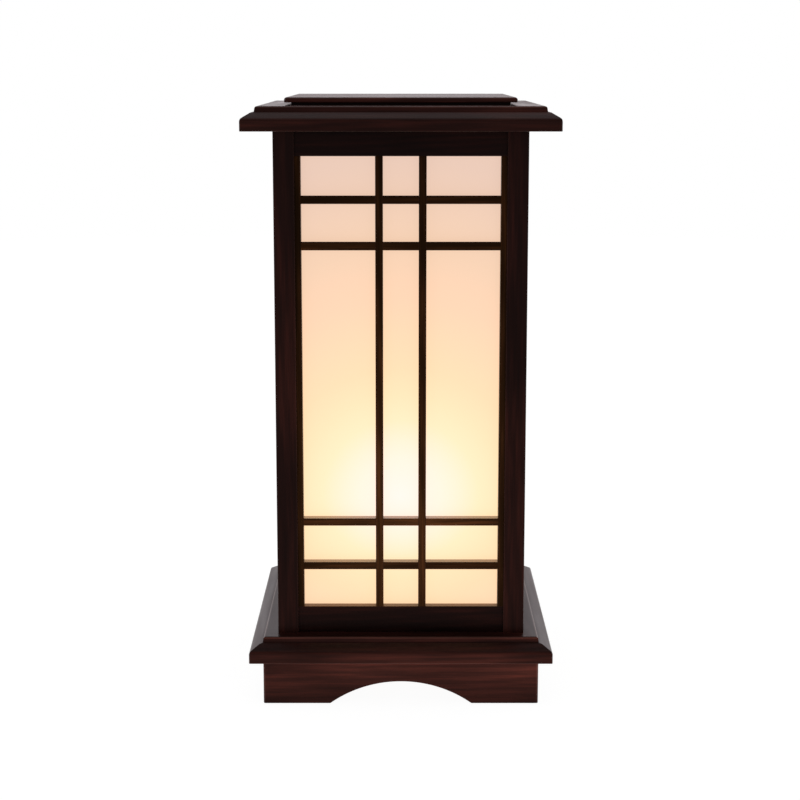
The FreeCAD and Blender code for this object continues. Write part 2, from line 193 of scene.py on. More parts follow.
# %% [markdown]
# ## How far a point is from the glow
#
# The panes' painted glow is centred on one place on each side, low down in front of the bulb, and
# the bars near it are painted lighter and warmer. On all four sides the distance from that place
# comes from the height and from the smaller of |x| and |y|, because the larger one only says how
# far out the pane stands. Below the bulb its holder is in the way, so there a distance counts for
# more, as painted shade.

# %% Distance from the glow
GLOW_HEIGHT = 172 * MM
GLOW_REACH = 300 * MM
FADE_BELOW = 1.2


def glow_distance(tree, place):
    """How far along its pane a point is from the middle of the glow, as a share of the reach."""
    size = add_node(tree, "ShaderNodeVectorMath", {0: place}, operation="ABSOLUTE")
    x, y, height = parts_of(tree, size.outputs["Vector"])
    beside = calculate(tree, "MINIMUM", x, y)
    above = calculate(tree, "SUBTRACT", height, GLOW_HEIGHT)
    below = calculate(tree, "MULTIPLY", above, -FADE_BELOW)
    upright = calculate(tree, "MAXIMUM", above, below)
    both = add_node(tree, "ShaderNodeCombineXYZ", {"X": beside, "Y": upright}).outputs["Vector"]
    distance = add_node(tree, "ShaderNodeVectorMath", {0: both}, operation="LENGTH")
    return calculate(tree, "DIVIDE", distance.outputs["Value"], GLOW_REACH)


# %% [markdown]
# ## Figure of the wood
#
# Grain has to follow each plank, also round a mitre, so a pattern on plain object coordinates
# would run the wrong way on half of the pieces. Each piece therefore carries an attribute named
# grain: for every point, its place along, across and through its plank. Noise that is drawn out
# along the first of the three gives streaks, and a slower noise gives broad light and dark bands.
# Rings round the heart of the log, which lies beside the plank and a little askew, give the
# figure under them.

# %% Noise and rings along the grain
GRAIN_ROUGHNESS = 0.6
RING_GAP = 5.5 * MM
RING_SCALE = math.pi / 10 / RING_GAP
RING_WAVER = 9
RING_WAVER_SCALE = 0.4
RING_STRETCH = (0.15, 1, 1)
RING_TILT = (0, 0.25, 0.12)


def grain_noise(tree, place, stretch, detail):
    """Noise with so many features in a metre along, across and through the plank."""
    drawn_out = add_node(tree, "ShaderNodeMapping", {"Vector": place, "Scale": stretch})
    return noise(tree, drawn_out.outputs["Vector"], 1, detail, GRAIN_ROUGHNESS)


def growth_rings(tree, place):
    """Rings round an axis that runs nearly along the plank. The wave node has one in 2 pi / 20."""
    log = add_node(tree, "ShaderNodeMapping", {
        "Vector": place, "Scale": RING_STRETCH, "Rotation": RING_TILT})
    return add_node(tree, "ShaderNodeTexWave", {
        "Vector": log.outputs["Vector"], "Scale": RING_SCALE, "Distortion": RING_WAVER,
        "Detail": 2, "Detail Scale": RING_WAVER_SCALE,
    }, wave_type="RINGS", rings_direction="X").outputs["Fac"]


def mix(tree, first, second, share):
    """Two values mixed, with this share of the second."""
    return add_node(tree, "ShaderNodeMix", {
        "A": first, "B": second, "Factor": share}).outputs["Result"]


# %% [markdown]
# ## Wood under satin lacquer
#
# The wood is stained so dark that it is nearly black, with fine reddish streaks along the grain.
# A second attribute holds painted light and shade: it makes some places of a piece lighter or
# darker than others, where light falls or shade lies. Slow patches vary the tone by chance,
# because stain never takes evenly on real wood.
#
# Facing the viewer the lacquer hardly shines, but seen along the surface it mirrors the room. A
# dark specular tint does that, because it tints only the reflection straight back. The bars of
# the lattice have painted light: they are painted lighter and warmer towards the glow.

# %% Lacquered wood
STREAKS = (22, 560, 560)
BANDS = (7, 60, 60)
BAND_SHARE = 0.52
RING_SHARE = 0.08
PATCHES = (9, 24, 24)
PATCH_DEPTH = 0.26
PORES = (90, 3200, 3200)
PORE_STRENGTH = 0.25
PORE_DEPTH = 0.2 * MM
MOST_NOISE = (0.3, 0.7)
MIDDLE_NOISE = (0.35, 0.65)
LACQUER_TINT = (0.11, 0.10, 0.10)
LACQUER_IOR = 1.4
PAINTED_GLOW_SPAN = (0.12, 0.62)


def lacquered(name, stops, satin, tint=LACQUER_TINT, painted_glow=1):
    """Streaks and bands along the grain, a satin sheen that varies a little, and shallow pores."""
    material, tree = new_material(name)
    place = add_node(tree, "ShaderNodeAttribute", {}, attribute_name="grain").outputs["Vector"]
    # Painted light and shade of each piece, read from an attribute.
    stain = add_node(tree, "ShaderNodeAttribute", {}, attribute_name="stain").outputs["Fac"]
    # Painted glow: near the glow of the panes the piece is painted lighter and warmer.
    if painted_glow > 1:
        far = glow_distance(tree, point_on_lamp(tree))
        painted_glow_factor = change_range(tree, far, PAINTED_GLOW_SPAN, (painted_glow, 1))
        stain = calculate(tree, "MULTIPLY", stain, painted_glow_factor)
    patch = change_range(tree, grain_noise(tree, place, PATCHES, 1), MIDDLE_NOISE,
                         (1 - PATCH_DEPTH, 1 + PATCH_DEPTH))
    stain = calculate(tree, "MULTIPLY", stain, patch)
    bands = grain_noise(tree, place, BANDS, 2)
    streaks = mix(tree, grain_noise(tree, place, STREAKS, 4), bands, BAND_SHARE)
    figured = mix(tree, streaks, growth_rings(tree, place), RING_SHARE)
    # The grain colour, made lighter or darker by the painted light and shade and by the patches.
    colour_with_painted_light = add_node(tree, "ShaderNodeVectorMath", {
        "Vector": colour_ramp(tree, figured, stops), "Scale": stain}, operation="SCALE")
    set_shader(tree, {
        "Base Color": colour_with_painted_light.outputs["Vector"],
        "Roughness": change_range(tree, bands, MOST_NOISE, satin),
        "Normal": relief(tree, grain_noise(tree, place, PORES, 2), PORE_STRENGTH, PORE_DEPTH),
        "Specular Tint": (*tint, 1),
        "IOR": LACQUER_IOR,
    })
    return material


# %% [markdown]
# ## The lamp's lacquers
#
# Every board has three finishes. The first is the lacquer on its flats. The second is for its
# edges, lighter than the flats: partly rubbed by handling, partly a painted highlight. The third
# is painted light, on narrow faces that look up beside a pane, where the light of the pane falls.
#
# The bars have browner ones of their own, which are painted lighter and warmer towards the glow.
# The tops of the lower bars have painted light from the glow above them, under a clear coat. The
# tops of the upper bars mirror nothing bright and stay dull, so their third finish has no specular
# reflection at all.

# %% Lacquers of the case and the bars
SATIN = (0.27, 0.40)
RUBBED_SATIN = (0.30, 0.42)
GLOSS = (0.22, 0.34)
MATT = (0.75, 0.85)
BAR_TINT = (0.07, 0.06, 0.03)
BAR_PAINTED_GLOW = 2.7
TOP_PAINTED_GLOW = 2.6
BAR_STOPS = [
    (0.30, (0.0072, 0.0027, 0.0010)),
    (0.48, (0.0155, 0.0053, 0.0019)),
    (0.60, (0.0300, 0.0102, 0.0035)),
    (0.74, (0.0600, 0.0190, 0.0060)),
]

lacquer = lacquered("lacquered_wood", [
    (0.30, (0.0095, 0.0031, 0.0024)),
    (0.48, (0.0172, 0.0049, 0.0036)),
    (0.60, (0.0290, 0.0074, 0.0053)),
    (0.74, (0.0500, 0.0115, 0.0076)),
], SATIN)
# Edges: lighter than the flats, partly wear and partly a painted highlight line.
arris = lacquered("rubbed_and_highlit_arris", [
    (0.30, (0.016, 0.0060, 0.0048)),
    (0.70, (0.050, 0.0165, 0.0125)),
], RUBBED_SATIN)
# Painted light: tops beside a pane are painted lighter, as the pane lights them.
painted_pane_light = lacquered("painted_pane_light", [
    (0.30, (0.10, 0.045, 0.018)),
    (0.70, (0.26, 0.115, 0.045)),
], GLOSS)
bar_lacquer = lacquered("bar_lacquer", BAR_STOPS, SATIN, BAR_TINT, BAR_PAINTED_GLOW)
# Painted light from the glow on the tops of the lower bars, under a clear coat.
bar_painted_pane_light = lacquered("bar_painted_pane_light", [
    (0.30, (0.085, 0.034, 0.008)),
    (0.70, (0.160, 0.062, 0.014)),
], GLOSS, painted_glow=TOP_PAINTED_GLOW)
set_shader(bar_painted_pane_light.node_tree, {"Coat Weight": 0.5, "Coat IOR": 1.8, "Coat Roughness": 0.16})
bar_matt_coat = lacquered("bar_matt_coat", BAR_STOPS, MATT, BAR_TINT, BAR_PAINTED_GLOW)
set_shader(bar_matt_coat.node_tree, {"Specular IOR Level": 0})
print("case:", lacquer.name, arris.name, painted_pane_light.name)
print("bars:", bar_lacquer.name, bar_painted_pane_light.name, bar_matt_coat.name)

# %% [markdown]
# ## Modelling helpers
#
# Most pieces are boards. A board starts as a cube primitive, added at its place and size. Its
# place is then applied, so that the object stays at the origin and moves only with its body.
# Faces and edges are picked in code, by where they lie and which way they face.

# %% Add a board and pick parts of it
def clear_selection():
    """Back to object mode with nothing selected, so that an operator acts on one piece only."""
    if bpy.context.object and bpy.context.object.mode == "EDIT":
        bpy.ops.object.mode_set(mode="OBJECT")
    bpy.ops.object.select_all(action="DESELECT")


def choose(piece):
    """Makes a piece the only one that operators act on."""
    clear_selection()
    piece.select_set(True)
    bpy.context.view_layer.objects.active = piece


def add_board(name, low, high):
    """A cube primitive added at a board's place and size, with its finishes."""
    clear_selection()
    bpy.ops.mesh.primitive_cube_add(size=1, location=(low + high) / 2, scale=high - low)
    board = bpy.context.object
    board.name = name
    bpy.ops.object.transform_apply(location=True, rotation=True, scale=True)
    for finish in (lacquer, arris, painted_pane_light):
        board.data.materials.append(finish)
    return board


def edit(piece, mode):
    """Edit mode with nothing picked."""
    choose(piece)
    bpy.ops.object.mode_set(mode="EDIT")
    bpy.ops.mesh.select_mode(type=mode)
    bpy.ops.mesh.select_all(action="DESELECT")


def pick_faces(piece, test):
    """Picks the faces whose middle and direction pass the test."""
    edit(piece, "FACE")
    for face in bmesh.from_edit_mesh(piece.data).faces:
        face.select_set(test(face.calc_center_median(), face.normal))
    bmesh.update_edit_mesh(piece.data)


def pick_edges(piece, test, sharper_than=0):
    """Picks the edges whose two ends pass the test, if their faces meet at more than an angle."""
    edit(piece, "EDGE")
    for edge in bmesh.from_edit_mesh(piece.data).edges:
        start, end = edge.verts
        edge.select_set(edge.calc_face_angle(0) >= sharper_than and test(start.co, end.co))
    bmesh.update_edit_mesh(piece.data)


# %% [markdown]
# Cutting is done with planes: a saw cut that drops one side and closes the cut, or a scored line
# that only splits the faces. Sharp edges are then eased, as a sanding block does before
# lacquering, except where a piece butts against its neighbour. The strip that this makes gets the
# rubbed finish, which is lighter: partly wear from handling, partly a painted highlight. So do
# edges that were cut or rounded in another way, once they are rubbed too.

# %% Saw, score and ease
NEAR = 0.01 * MM
LACQUERED, RUBBED_HIGHLIT, TOP_FINISH = 0, 1, 2
LIKE_NEIGHBOURS = -1
SHARP_ANGLE = math.radians(35)


def score(piece, point, direction, **waste):
    """Splits the faces along a plane. Settings for waste say what is dropped beside it."""
    edit(piece, "FACE")
    bpy.ops.mesh.select_all(action="SELECT")
    bpy.ops.mesh.bisect(plane_co=point, plane_no=direction, **waste)
    bpy.ops.object.mode_set(mode="OBJECT")


def saw(piece, point, direction):
    """Cuts off what lies beyond a plane, on the side that the direction points to."""
    score(piece, point, direction, use_fill=True, clear_outer=True)


def push(way):
    """Extrudes the picked faces by a distance."""
    bpy.ops.mesh.extrude_region_move(TRANSFORM_OT_translate={"value": way})
    bpy.ops.object.mode_set(mode="OBJECT")


def round_edges(piece, test, offset, segments, finish=LIKE_NEIGHBOURS, sharper_than=0):
    """Rounds the edges that pass the test and gives the new faces a finish."""
    pick_edges(piece, test, sharper_than)
    bpy.ops.mesh.bevel(offset=offset, segments=segments, affect="EDGES", material=finish)
    bpy.ops.object.mode_set(mode="OBJECT")


def ease(piece, width, butts):
    """Eases every sharp edge but those that butt against a neighbour."""
    round_edges(piece, lambda start, end: not butts(start, end), width, 2, RUBBED_HIGHLIT, SHARP_ANGLE)


def rub_and_highlight(piece, test):
    """Gives the faces whose middle and direction pass the test the rubbed finish: lighter, as wear
    and a painted highlight.
    """
    for face in piece.data.polygons:
        if test(face.center, face.normal):
            face.material_index = RUBBED_HIGHLIT


# %% [markdown]
# A finished piece is shaded smooth across its rounded edges, with weighted normals so that its
# flat faces stay flat. It then gets its grain and its painted light and shade, rides on its body
# and stands for its part of the frame. Each plank is cut from another place in the log, so no two
# look alike.

# %% Finish a piece
SMOOTH_ANGLE = math.radians(50)
PLANK_STEP = 417 * MM
FROM_HEART = [(-35 * MM, 20 * MM), (12 * MM, 45 * MM), (-8 * MM, 30 * MM), (30 * MM, 60 * MM),
              (0, 36 * MM)]
planks_laid = []


def smooth(piece):
    """Smooth shading over rounded edges, flat shading on the flats."""
    choose(piece)
    bpy.ops.object.shade_smooth_by_angle(angle=SMOOTH_ANGLE)
    piece.modifiers.new("flats", "WEIGHTED_NORMAL").keep_sharp = True
    bpy.ops.object.modifier_apply(modifier="flats")


def store(piece, name, kind, field, value_at):
    """Stores a value for every point of a piece, as an attribute."""
    data = piece.data.attributes
    attribute = data.get(name) or data.new(name, kind, "POINT")
    for vertex, entry in zip(piece.data.vertices, attribute.data):
        setattr(entry, field, value_at(vertex.co))


def lay_grain(piece, along, stain):
    """Stores each point's place in its plank, and the painted light and shade there. These are a
    row of values in even steps, from the bottom of the piece to its top."""
    planks_laid.append(piece.name)
    laid = len(planks_laid)
    shift = Vector((PLANK_STEP * laid, *FROM_HEART[laid % len(FROM_HEART)]))
    order = {"X": (0, 1, 2), "Y": (1, 0, 2), "Z": (2, 0, 1)}[along]
    corners = [Vector(corner) for corner in piece.bound_box]
    middle = sum(corners, Vector()) / len(corners)
    bottom, top = min(corner.z for corner in corners), max(corner.z for corner in corners)

    def painted_light_at(point):
        step = (point.z - bottom) / (top - bottom) * (len(stain) - 1)
        start = min(int(step), len(stain) - 2)
        return stain[start] + (step - start) * (stain[start + 1] - stain[start])

    store(piece, "grain", "FLOAT_VECTOR", "vector",
          lambda point: Vector([(point - middle)[axis] for axis in order]) + shift)
    store(piece, "stain", "FLOAT", "value", painted_light_at)


def fit(piece, body, node):
    """The piece rides on its body and stands for its part of the frame, which is hidden."""
    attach(piece, body)
    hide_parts(node)


# %% [markdown]
# What comes back on all four sides is made once, at the front, and copied with a mesh of its own,
# because the copies differ in their grain.

# %% Copies with a mesh of their own
def placed_copy(piece, way=(0, 0, 0), turn=0):
    """A copy that is turned about the upright axis and then moved."""
    choose(piece)
    bpy.ops.object.duplicate(linked=False)
    copy = bpy.context.object
    copy.location = way
    copy.rotation_euler.z = turn
    bpy.ops.object.transform_apply(location=True, rotation=True, scale=False)
    return copy


def fit_all_round(first, stem, node, stain=None, grain="XY", places=SIDES):
    """A piece and its three turned copies, each standing for its own part. The first letter of
    grain is its axis on the first and third of them, the second on the other two."""
    smooth(first)
    copies = [placed_copy(first, turn=quarters * QUARTER) for quarters in (1, 2, 3)]
    for quarters, (piece, place) in enumerate(zip([first] + copies, places)):
        piece.name = stem + "_" + place
        if stain:
            lay_grain(piece, grain[quarters % 2], stain)
        fit(piece, "case", node + "_" + place)
    print(stem + ":", len(first.data.polygons), "faces in each of the four")


# %% [markdown]
# ## Plinth
#
# Four boards stand on edge and meet in mitres. Each has a flat arch cut in its lower edge, so
# that the lamp stands on its four corners. The arch is part of one large circle, found from its
# chord and its rise. A Boolean with a cylinder cuts it cleanly, which is closer to a saw and a
# sanding drum than moving points by hand.

# %% Mitres and cut-outs
MITRE_EASE = 0.5 * MM
DIAGONAL = 0.6


def on_mitre(start, end):
    """True for an edge that lies in one of the two mitre faces of a front piece."""
    return all(abs(abs(point.x) + point.y) < NEAR for point in (start, end))


def saw_mitres(piece, half):
    """Both ends cut to the mitre, then the sharp outer corner taken off square to it and given the
    rubbed finish, with its painted highlight.
    A face at 45 degrees looks 0.71 along two axes, which is more than DIAGONAL."""
    for side in (-1, 1):
        saw(piece, (0, 0, 0), (side, 1, 0))
        saw(piece, (side * (half - MITRE_EASE), -half + MITRE_EASE, 0), (side, -1, 0))
    rub_and_highlight(piece, lambda middle, way: way.y < -DIAGONAL and abs(way.x) > DIAGONAL)


def cut_with(piece, cutter):
    """Takes a cutter's shape out of a piece and throws the cutter away."""
    choose(piece)
    cut = piece.modifiers.new("cut", "BOOLEAN")
    cut.object = cutter
    cut.solver = "EXACT"
    bpy.ops.object.modifier_apply(modifier="cut")
    bpy.data.objects.remove(cutter)


# %% Plinth aprons
ARCH_CHORD = 117.7 * MM
ARCH_RISE = 19 * MM
ARCH_STEPS = 256
APRON_EASE = 0.6 * MM
# Painted light: the plinth is painted lighter than the other boards, most towards its top.
APRON_PAINTED_LIGHT = (1.35, 3.8)


def add_arch_cutter(middle_y, reach):
    """A cylinder across the board, as wide as the arch's full circle."""
    radius = ((ARCH_CHORD / 2) ** 2 + ARCH_RISE ** 2) / (2 * ARCH_RISE)
    clear_selection()
    bpy.ops.mesh.primitive_cylinder_add(
        vertices=ARCH_STEPS, radius=radius, depth=reach,
        location=(0, middle_y, ARCH_RISE - radius), rotation=(QUARTER, 0, 0))
    return bpy.context.object


apron_low, apron_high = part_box("plinth_front")
apron = add_board("apron", apron_low, apron_high)
thickness = apron_high.y - apron_low.y
cut_with(apron, add_arch_cutter((apron_low.y + apron_high.y) / 2, 3 * thickness))
saw_mitres(apron, apron_high.x)
ease(apron, APRON_EASE, lambda start, end: on_mitre(start, end) or
     min(start.z, end.z) > apron_high.z - NEAR)
fit_all_round(apron, "plinth_apron", "plinth", APRON_PAINTED_LIGHT)

# %% [markdown]
# ## Mouldings of the base and the cap
#
# One moulding, run with one cutter, frames both the base and the cap: an upright face, a rounded
# arris, a slope, a narrow ledge and a small step. It could be an outline that is extruded, but
# built from a board the steps read as they are cut: the board's outer face is pushed out twice,
# once for the ledge and once for the slope, and the outer edges are then lowered.

# %% Model a moulding
OUTWARD = 0.9
ASLANT = 0.4
FACE_HEIGHT = 9.7 * MM
SLOPE_RUN = 8.2 * MM
SLOPE_RISE = 4.9 * MM
LEDGE_RUN = 2.6 * MM
LEDGE_RISE = 0.4 * MM
RISER_RAKE = 0.7 * MM
ARRIS_RADIUS = 3.5 * MM
STEP_RADIUS = 1.7 * MM
FOOT_RADIUS = 0.7 * MM


def long_edge(y, z):
    """A test for the long edge at y and z."""
    return lambda start, end: (abs(start.y - y) + abs(end.y - y) < NEAR
                               and abs(start.z - z) + abs(end.z - z) < NEAR)


def move_edge(piece, y, z, way):
    """Moves the long edge that lies at y and z."""
    pick_edges(piece, long_edge(y, z))
    bpy.ops.transform.translate(value=way)
    bpy.ops.object.mode_set(mode="OBJECT")


def reach_of(radius, turn):
    """How far from a corner an arc of this radius starts, where the outline turns by an angle."""
    return radius * math.tan(turn / 2)


def add_moulding(name, low, high):
    """The front moulding of a frame, mitred at both ends."""
    half = high.x
    slope_end = half - SLOPE_RUN
    ledge_end = slope_end - LEDGE_RUN
    face_top = low.z + FACE_HEIGHT
    ledge_top = face_top + SLOPE_RISE + LEDGE_RISE
    piece = add_board(name, Vector((-half, -ledge_end, low.z)), Vector((half, high.y, high.z)))
    score(piece, (0, 0, ledge_top), (0, 0, 1))
    for run in (LEDGE_RUN, SLOPE_RUN):
        pick_faces(piece, lambda middle, way: way.y < -OUTWARD and middle.z < ledge_top)
        push((0, -run, 0))
    move_edge(piece, -half, ledge_top, (0, 0, -SLOPE_RISE - LEDGE_RISE))
    move_edge(piece, -slope_end, ledge_top, (0, 0, -LEDGE_RISE))
    move_edge(piece, -ledge_end, high.z, (0, RISER_RAKE, 0))
    arris_turn = QUARTER - math.atan2(SLOPE_RISE, SLOPE_RUN)
    round_edges(piece, long_edge(-half, face_top), reach_of(ARRIS_RADIUS, arris_turn), segments=6)
    step_edge = long_edge(-ledge_end + RISER_RAKE, high.z)
    round_edges(piece, step_edge, reach_of(STEP_RADIUS, QUARTER), segments=5)
    # The rounded step edge and the foot get the rubbed finish, partly a painted highlight line.
    rub_and_highlight(piece, lambda middle, way: middle.z > high.z - STEP_RADIUS
        and way.y < -ASLANT and way.z > ASLANT)
    foot_edge = long_edge(-half, low.z)
    round_edges(piece, foot_edge, reach_of(FOOT_RADIUS, QUARTER), segments=3, finish=RUBBED_HIGHLIT)
    saw_mitres(piece, half)
    return piece


# %% [markdown]
# The base also has a recess in its lower edge, which takes the floor board. Its painted light and
# shade is a row of values from its foot to the top of its step: painted light on the upright face,
# which the table lights from below, painted shade on the slope, and a painted highlight on the
# rubbed edge of the step.

# %% Mouldings
FLOOR_GAP = 0.2 * MM
BASE_PAINTED_LIGHT = (2.1, 2.05, 2.0, 1.95, 1.9, 1.85, 1.8, 1.75, 1.7, 1.5,
              1.0, 0.8, 0.7, 0.65, 0.7, 0.95, 1.1, 1.2, 3.2, 0.8)
# Painted light on the cap: lighter towards its top.
CAP_PAINTED_LIGHT = (0.8, 1.4)


def notch(piece, low, high):
    """Cuts a box out of a piece. The box runs out past it, so that its faces cut cleanly."""
    cut_with(piece, add_board("notch", Vector(low), Vector(high)))


floor_low, floor_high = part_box("floor_board")
recess_half = floor_high.x + FLOOR_GAP
for place, stain in (("base", BASE_PAINTED_LIGHT), ("cap", CAP_PAINTED_LIGHT)):
    moulding = add_moulding(place, *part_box(place + "_moulding_front"))
    if place == "base":
        notch(moulding, (-recess_half, -recess_half, floor_low.z - MM),
              (recess_half, 0, floor_high.z))
    fit_all_round(moulding, place + "_trim", place + "_moulding", stain)

# %% [markdown]
# ## Posts
#
# Four square posts carry everything. Only their long edges are eased, because both ends are
# hidden: one stands on the base and the other is under the cap. One post is modelled and turned
# to the other three corners.

# %% Posts
POST_EASE = 0.6 * MM
# Painted shade: the posts are painted darker towards the top.
POST_PAINTED_SHADE = (0.9, 0.6)


def level(start, end):
    """True for an edge that lies level, at the end of an upright piece."""
    return abs(start.z - end.z) < NEAR


post = add_board("post", post_low, post_high)
ease(post, POST_EASE, level)
fit_all_round(post, "corner_post", "post", POST_PAINTED_SHADE, grain="ZZ", places=CORNERS)

# %% [markdown]
# ## Rails
#
# A rail joins two posts at the bottom and at the top of each side, set back a little from their
# fronts. It has a rebate along the edge that faces the light, which holds the pane: the board is
# scored along the rebate's line, and the strip in front of it is pushed on.

# %% Rails
RAIL_EASE = 0.5 * MM
PANE_LAP = 5 * MM
UPWARD = 0.7
# Painted shade: the lower rail is painted darker at its foot, next to the base, and the upper rail
# dark all over, under the cap.
LOWER_RAIL_PAINTED_SHADE = (0.25, 1.0)
UPPER_RAIL_PAINTED_SHADE = (0.35, 0.3)


def paint_tops(piece, above):
    """Gives the faces that look up, above a height, the piece's third finish: painted light from
    the pane, or a dull top on the upper bars.
    """
    for face in piece.data.polygons:
        if face.normal.z > UPWARD and face.center.z > above:
            face.material_index = TOP_FINISH


def at_post(start, end):
    """True for an edge at either end, against a post."""
    return abs(start.x - end.x) < NEAR and abs(start.x) > post_inside - NEAR


def add_rail(outer_z, light_z, lap):
    """A rail from its outer edge to the light, with its rebate as deep as the pane's lap."""
    rebate_z = light_z - lap
    low_z, high_z = sorted((outer_z, rebate_z))
    rail = add_board("rail", Vector((-post_inside, -lattice_front, low_z)),
                     Vector((post_inside, -post_inside, high_z)))
    score(rail, (0, -lattice_back, 0), (0, 1, 0))
    pick_faces(rail, lambda middle, way: abs(middle.z - rebate_z) < NEAR
               and middle.y < -lattice_back)
    push((0, 0, lap))
    ease(rail, RAIL_EASE, at_post)
    paint_tops(rail, light_bottom - RAIL_EASE)
    return rail


lower_rail = add_rail(case_bottom, light_bottom, PANE_LAP)
fit_all_round(lower_rail, "bottom_rail", "lower_rail", LOWER_RAIL_PAINTED_SHADE)
upper_rail = add_rail(case_top, light_top, -PANE_LAP)
fit_all_round(upper_rail, "top_rail", "upper_rail", UPPER_RAIL_PAINTED_SHADE)

# %% [markdown]
# ## Lattice
#
# Two thin stiles stand against the posts, two uprights stand between them, and four cross bars
# run across. Uprights and cross bars are halved together: each loses half of its depth where they
# cross, so that all the fronts are flush. Here too one bar of each kind is cut and then copied.

# %% Places of the bars
BAR_WIDTH = 6.2 * MM
STILE_WIDTH = 4.9 * MM
OUTER_LIGHT = 32 * MM
INNER_LIGHT = 31.2 * MM

light_half = post_inside - STILE_WIDTH
upright_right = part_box("lattice_uprights_front")[1].x
lattice_middle = (lattice_front + lattice_back) / 2
cross_bar_starts = [
    light_bottom + OUTER_LIGHT,
    light_bottom + OUTER_LIGHT + BAR_WIDTH + INNER_LIGHT,
    light_top - OUTER_LIGHT - 2 * BAR_WIDTH - INNER_LIGHT,
    light_top - OUTER_LIGHT - BAR_WIDTH,
]
print("cross bars start at", [round(start / MM, 1) for start in cross_bar_starts], "mm")

# %% Cut one bar of each kind
BAR_EASE = 0.15 * MM


def add_bar(name, low_x, high_x, low_z, high_z):
    """A bar as deep as the lattice."""
    return add_board(name, Vector((low_x, -lattice_front, low_z)),
                     Vector((high_x, -lattice_back, high_z)))


def butts_at_ends(axis, low, high):
    """A test for edges at either end of a bar that runs along an axis."""
    return lambda start, end: abs(start[axis] - end[axis]) < NEAR and (
        start[axis] < low + NEAR or start[axis] > high - NEAR)


def add_stile():
    """The left stile, which stands against a post and isn't eased there."""
    bar = add_bar("stile", -post_inside, -light_half, light_bottom, light_top)
    ease(bar, BAR_EASE, lambda start, end: level(start, end) or start.x < NEAR - post_inside)
    return bar


def add_upright():
    """The left upright, cut away behind where the cross bars pass."""
    left = -upright_right
    bar = add_bar("upright", left, left + BAR_WIDTH, light_bottom, light_top)
    for start in cross_bar_starts:
        notch(bar, (left - MM, -lattice_middle, start),
              (left + BAR_WIDTH + MM, -lattice_back + MM, start + BAR_WIDTH))
    ease(bar, BAR_EASE, butts_at_ends(2, light_bottom, light_top))
    return bar


def add_cross_bar():
    """The lowest cross bar, cut away in front where the uprights pass."""
    bottom = cross_bar_starts[0]
    bar = add_bar("cross_bar", -light_half, light_half, bottom, bottom + BAR_WIDTH)
    for left in (-upright_right, upright_right - BAR_WIDTH):
        notch(bar, (left, -lattice_front - MM, bottom - MM),
              (left + BAR_WIDTH, -lattice_middle, bottom + BAR_WIDTH + MM))
    ease(bar, BAR_EASE, butts_at_ends(0, -light_half, light_half))
    paint_tops(bar, light_bottom)
    return bar


stile = add_stile()
upright = add_upright()
cross_bar = add_cross_bar()
print("faces of a stile, an upright and a cross bar:",
      [len(bar.data.polygons) for bar in (stile, upright, cross_bar)])

# %% [markdown]
# The frame keeps each kind of bar on one side as one part, so the bars of a kind are joined into
# one piece for each side. The grain is laid before they are joined, bar by bar, so that every bar
# still has a grain of its own. The two upper cross bars have dull tops.

# %% Put the lattices on the four sides
# Painted shade: the bars are painted a little darker towards the top.
BAR_PAINTED_LIGHT = (1.0, 0.8)

steps_up = [start - cross_bar_starts[0] for start in cross_bar_starts[1:]]
bars_on_front = {
    "stiles": [stile, placed_copy(stile, (post_inside + light_half, 0, 0))],
    "uprights": [upright, placed_copy(upright, (2 * upright_right - BAR_WIDTH, 0, 0))],
    "cross_bars": [cross_bar] + [placed_copy(cross_bar, (0, 0, step)) for step in steps_up],
}
upper_bars = bars_on_front["cross_bars"][2:]


def join_pieces(pieces, name):
    """Joins loose pieces into one."""
    choose(pieces[0])
    for piece in pieces:
        piece.select_set(True)
    bpy.ops.object.join()
    pieces[0].name = name
    return pieces[0]


for kind, bars in bars_on_front.items():
    for bar in bars:
        bar.data.materials[LACQUERED] = bar_lacquer
        bar.data.materials[TOP_FINISH] = bar_matt_coat if bar in upper_bars else bar_painted_pane_light
        smooth(bar)
    for quarters, side in enumerate(SIDES):
        turned = [placed_copy(bar, turn=quarters * QUARTER) for bar in bars]
        for bar in turned:
            lay_grain(bar, "XY"[quarters % 2] if kind == "cross_bars" else "Z", BAR_PAINTED_LIGHT)
        joined = join_pieces(turned, kind + "_" + side)
        fit(joined, "case", "lattice_" + kind + "_" + side)
    for bar in bars:
        bpy.data.objects.remove(bar)
    print(kind + ":", len(bars), "on each side")

# %% [markdown]
# ## Panes
#
# Behind each lattice is a thin sheet of frosted plastic. Frosting spreads the light of the bulb,
# and here that light is painted on the pane as a glow: brightest in front of the bulb and fading
# with the distance along the pane. Towards the top the painted glow turns pink, as light that has
# bounced off wood does. A texture of the glow would do as well, but the distance gives it without
# a picture, and alike on all four sides.

# %% Frosted plastic
GLOW_STRENGTH = 1.15
GLOW = [
    (0, (1.15, 0.885, 0.800)),
    (33, (1.13, 0.868, 0.705)),
    (46, (1.12, 0.845, 0.630)),
    (65, (1.10, 0.805, 0.495)),
    (85, (1.07, 0.752, 0.445)),
    (108, (1.04, 0.693, 0.411)),
    (164, (0.95, 0.612, 0.405)),
    (204, (0.86, 0.582, 0.400)),
    (278, (0.76, 0.530, 0.420)),
]
FROST_SCALE = 2500
FROST_STRENGTH = 0.2
FROST_DEPTH = 0.1 * MM


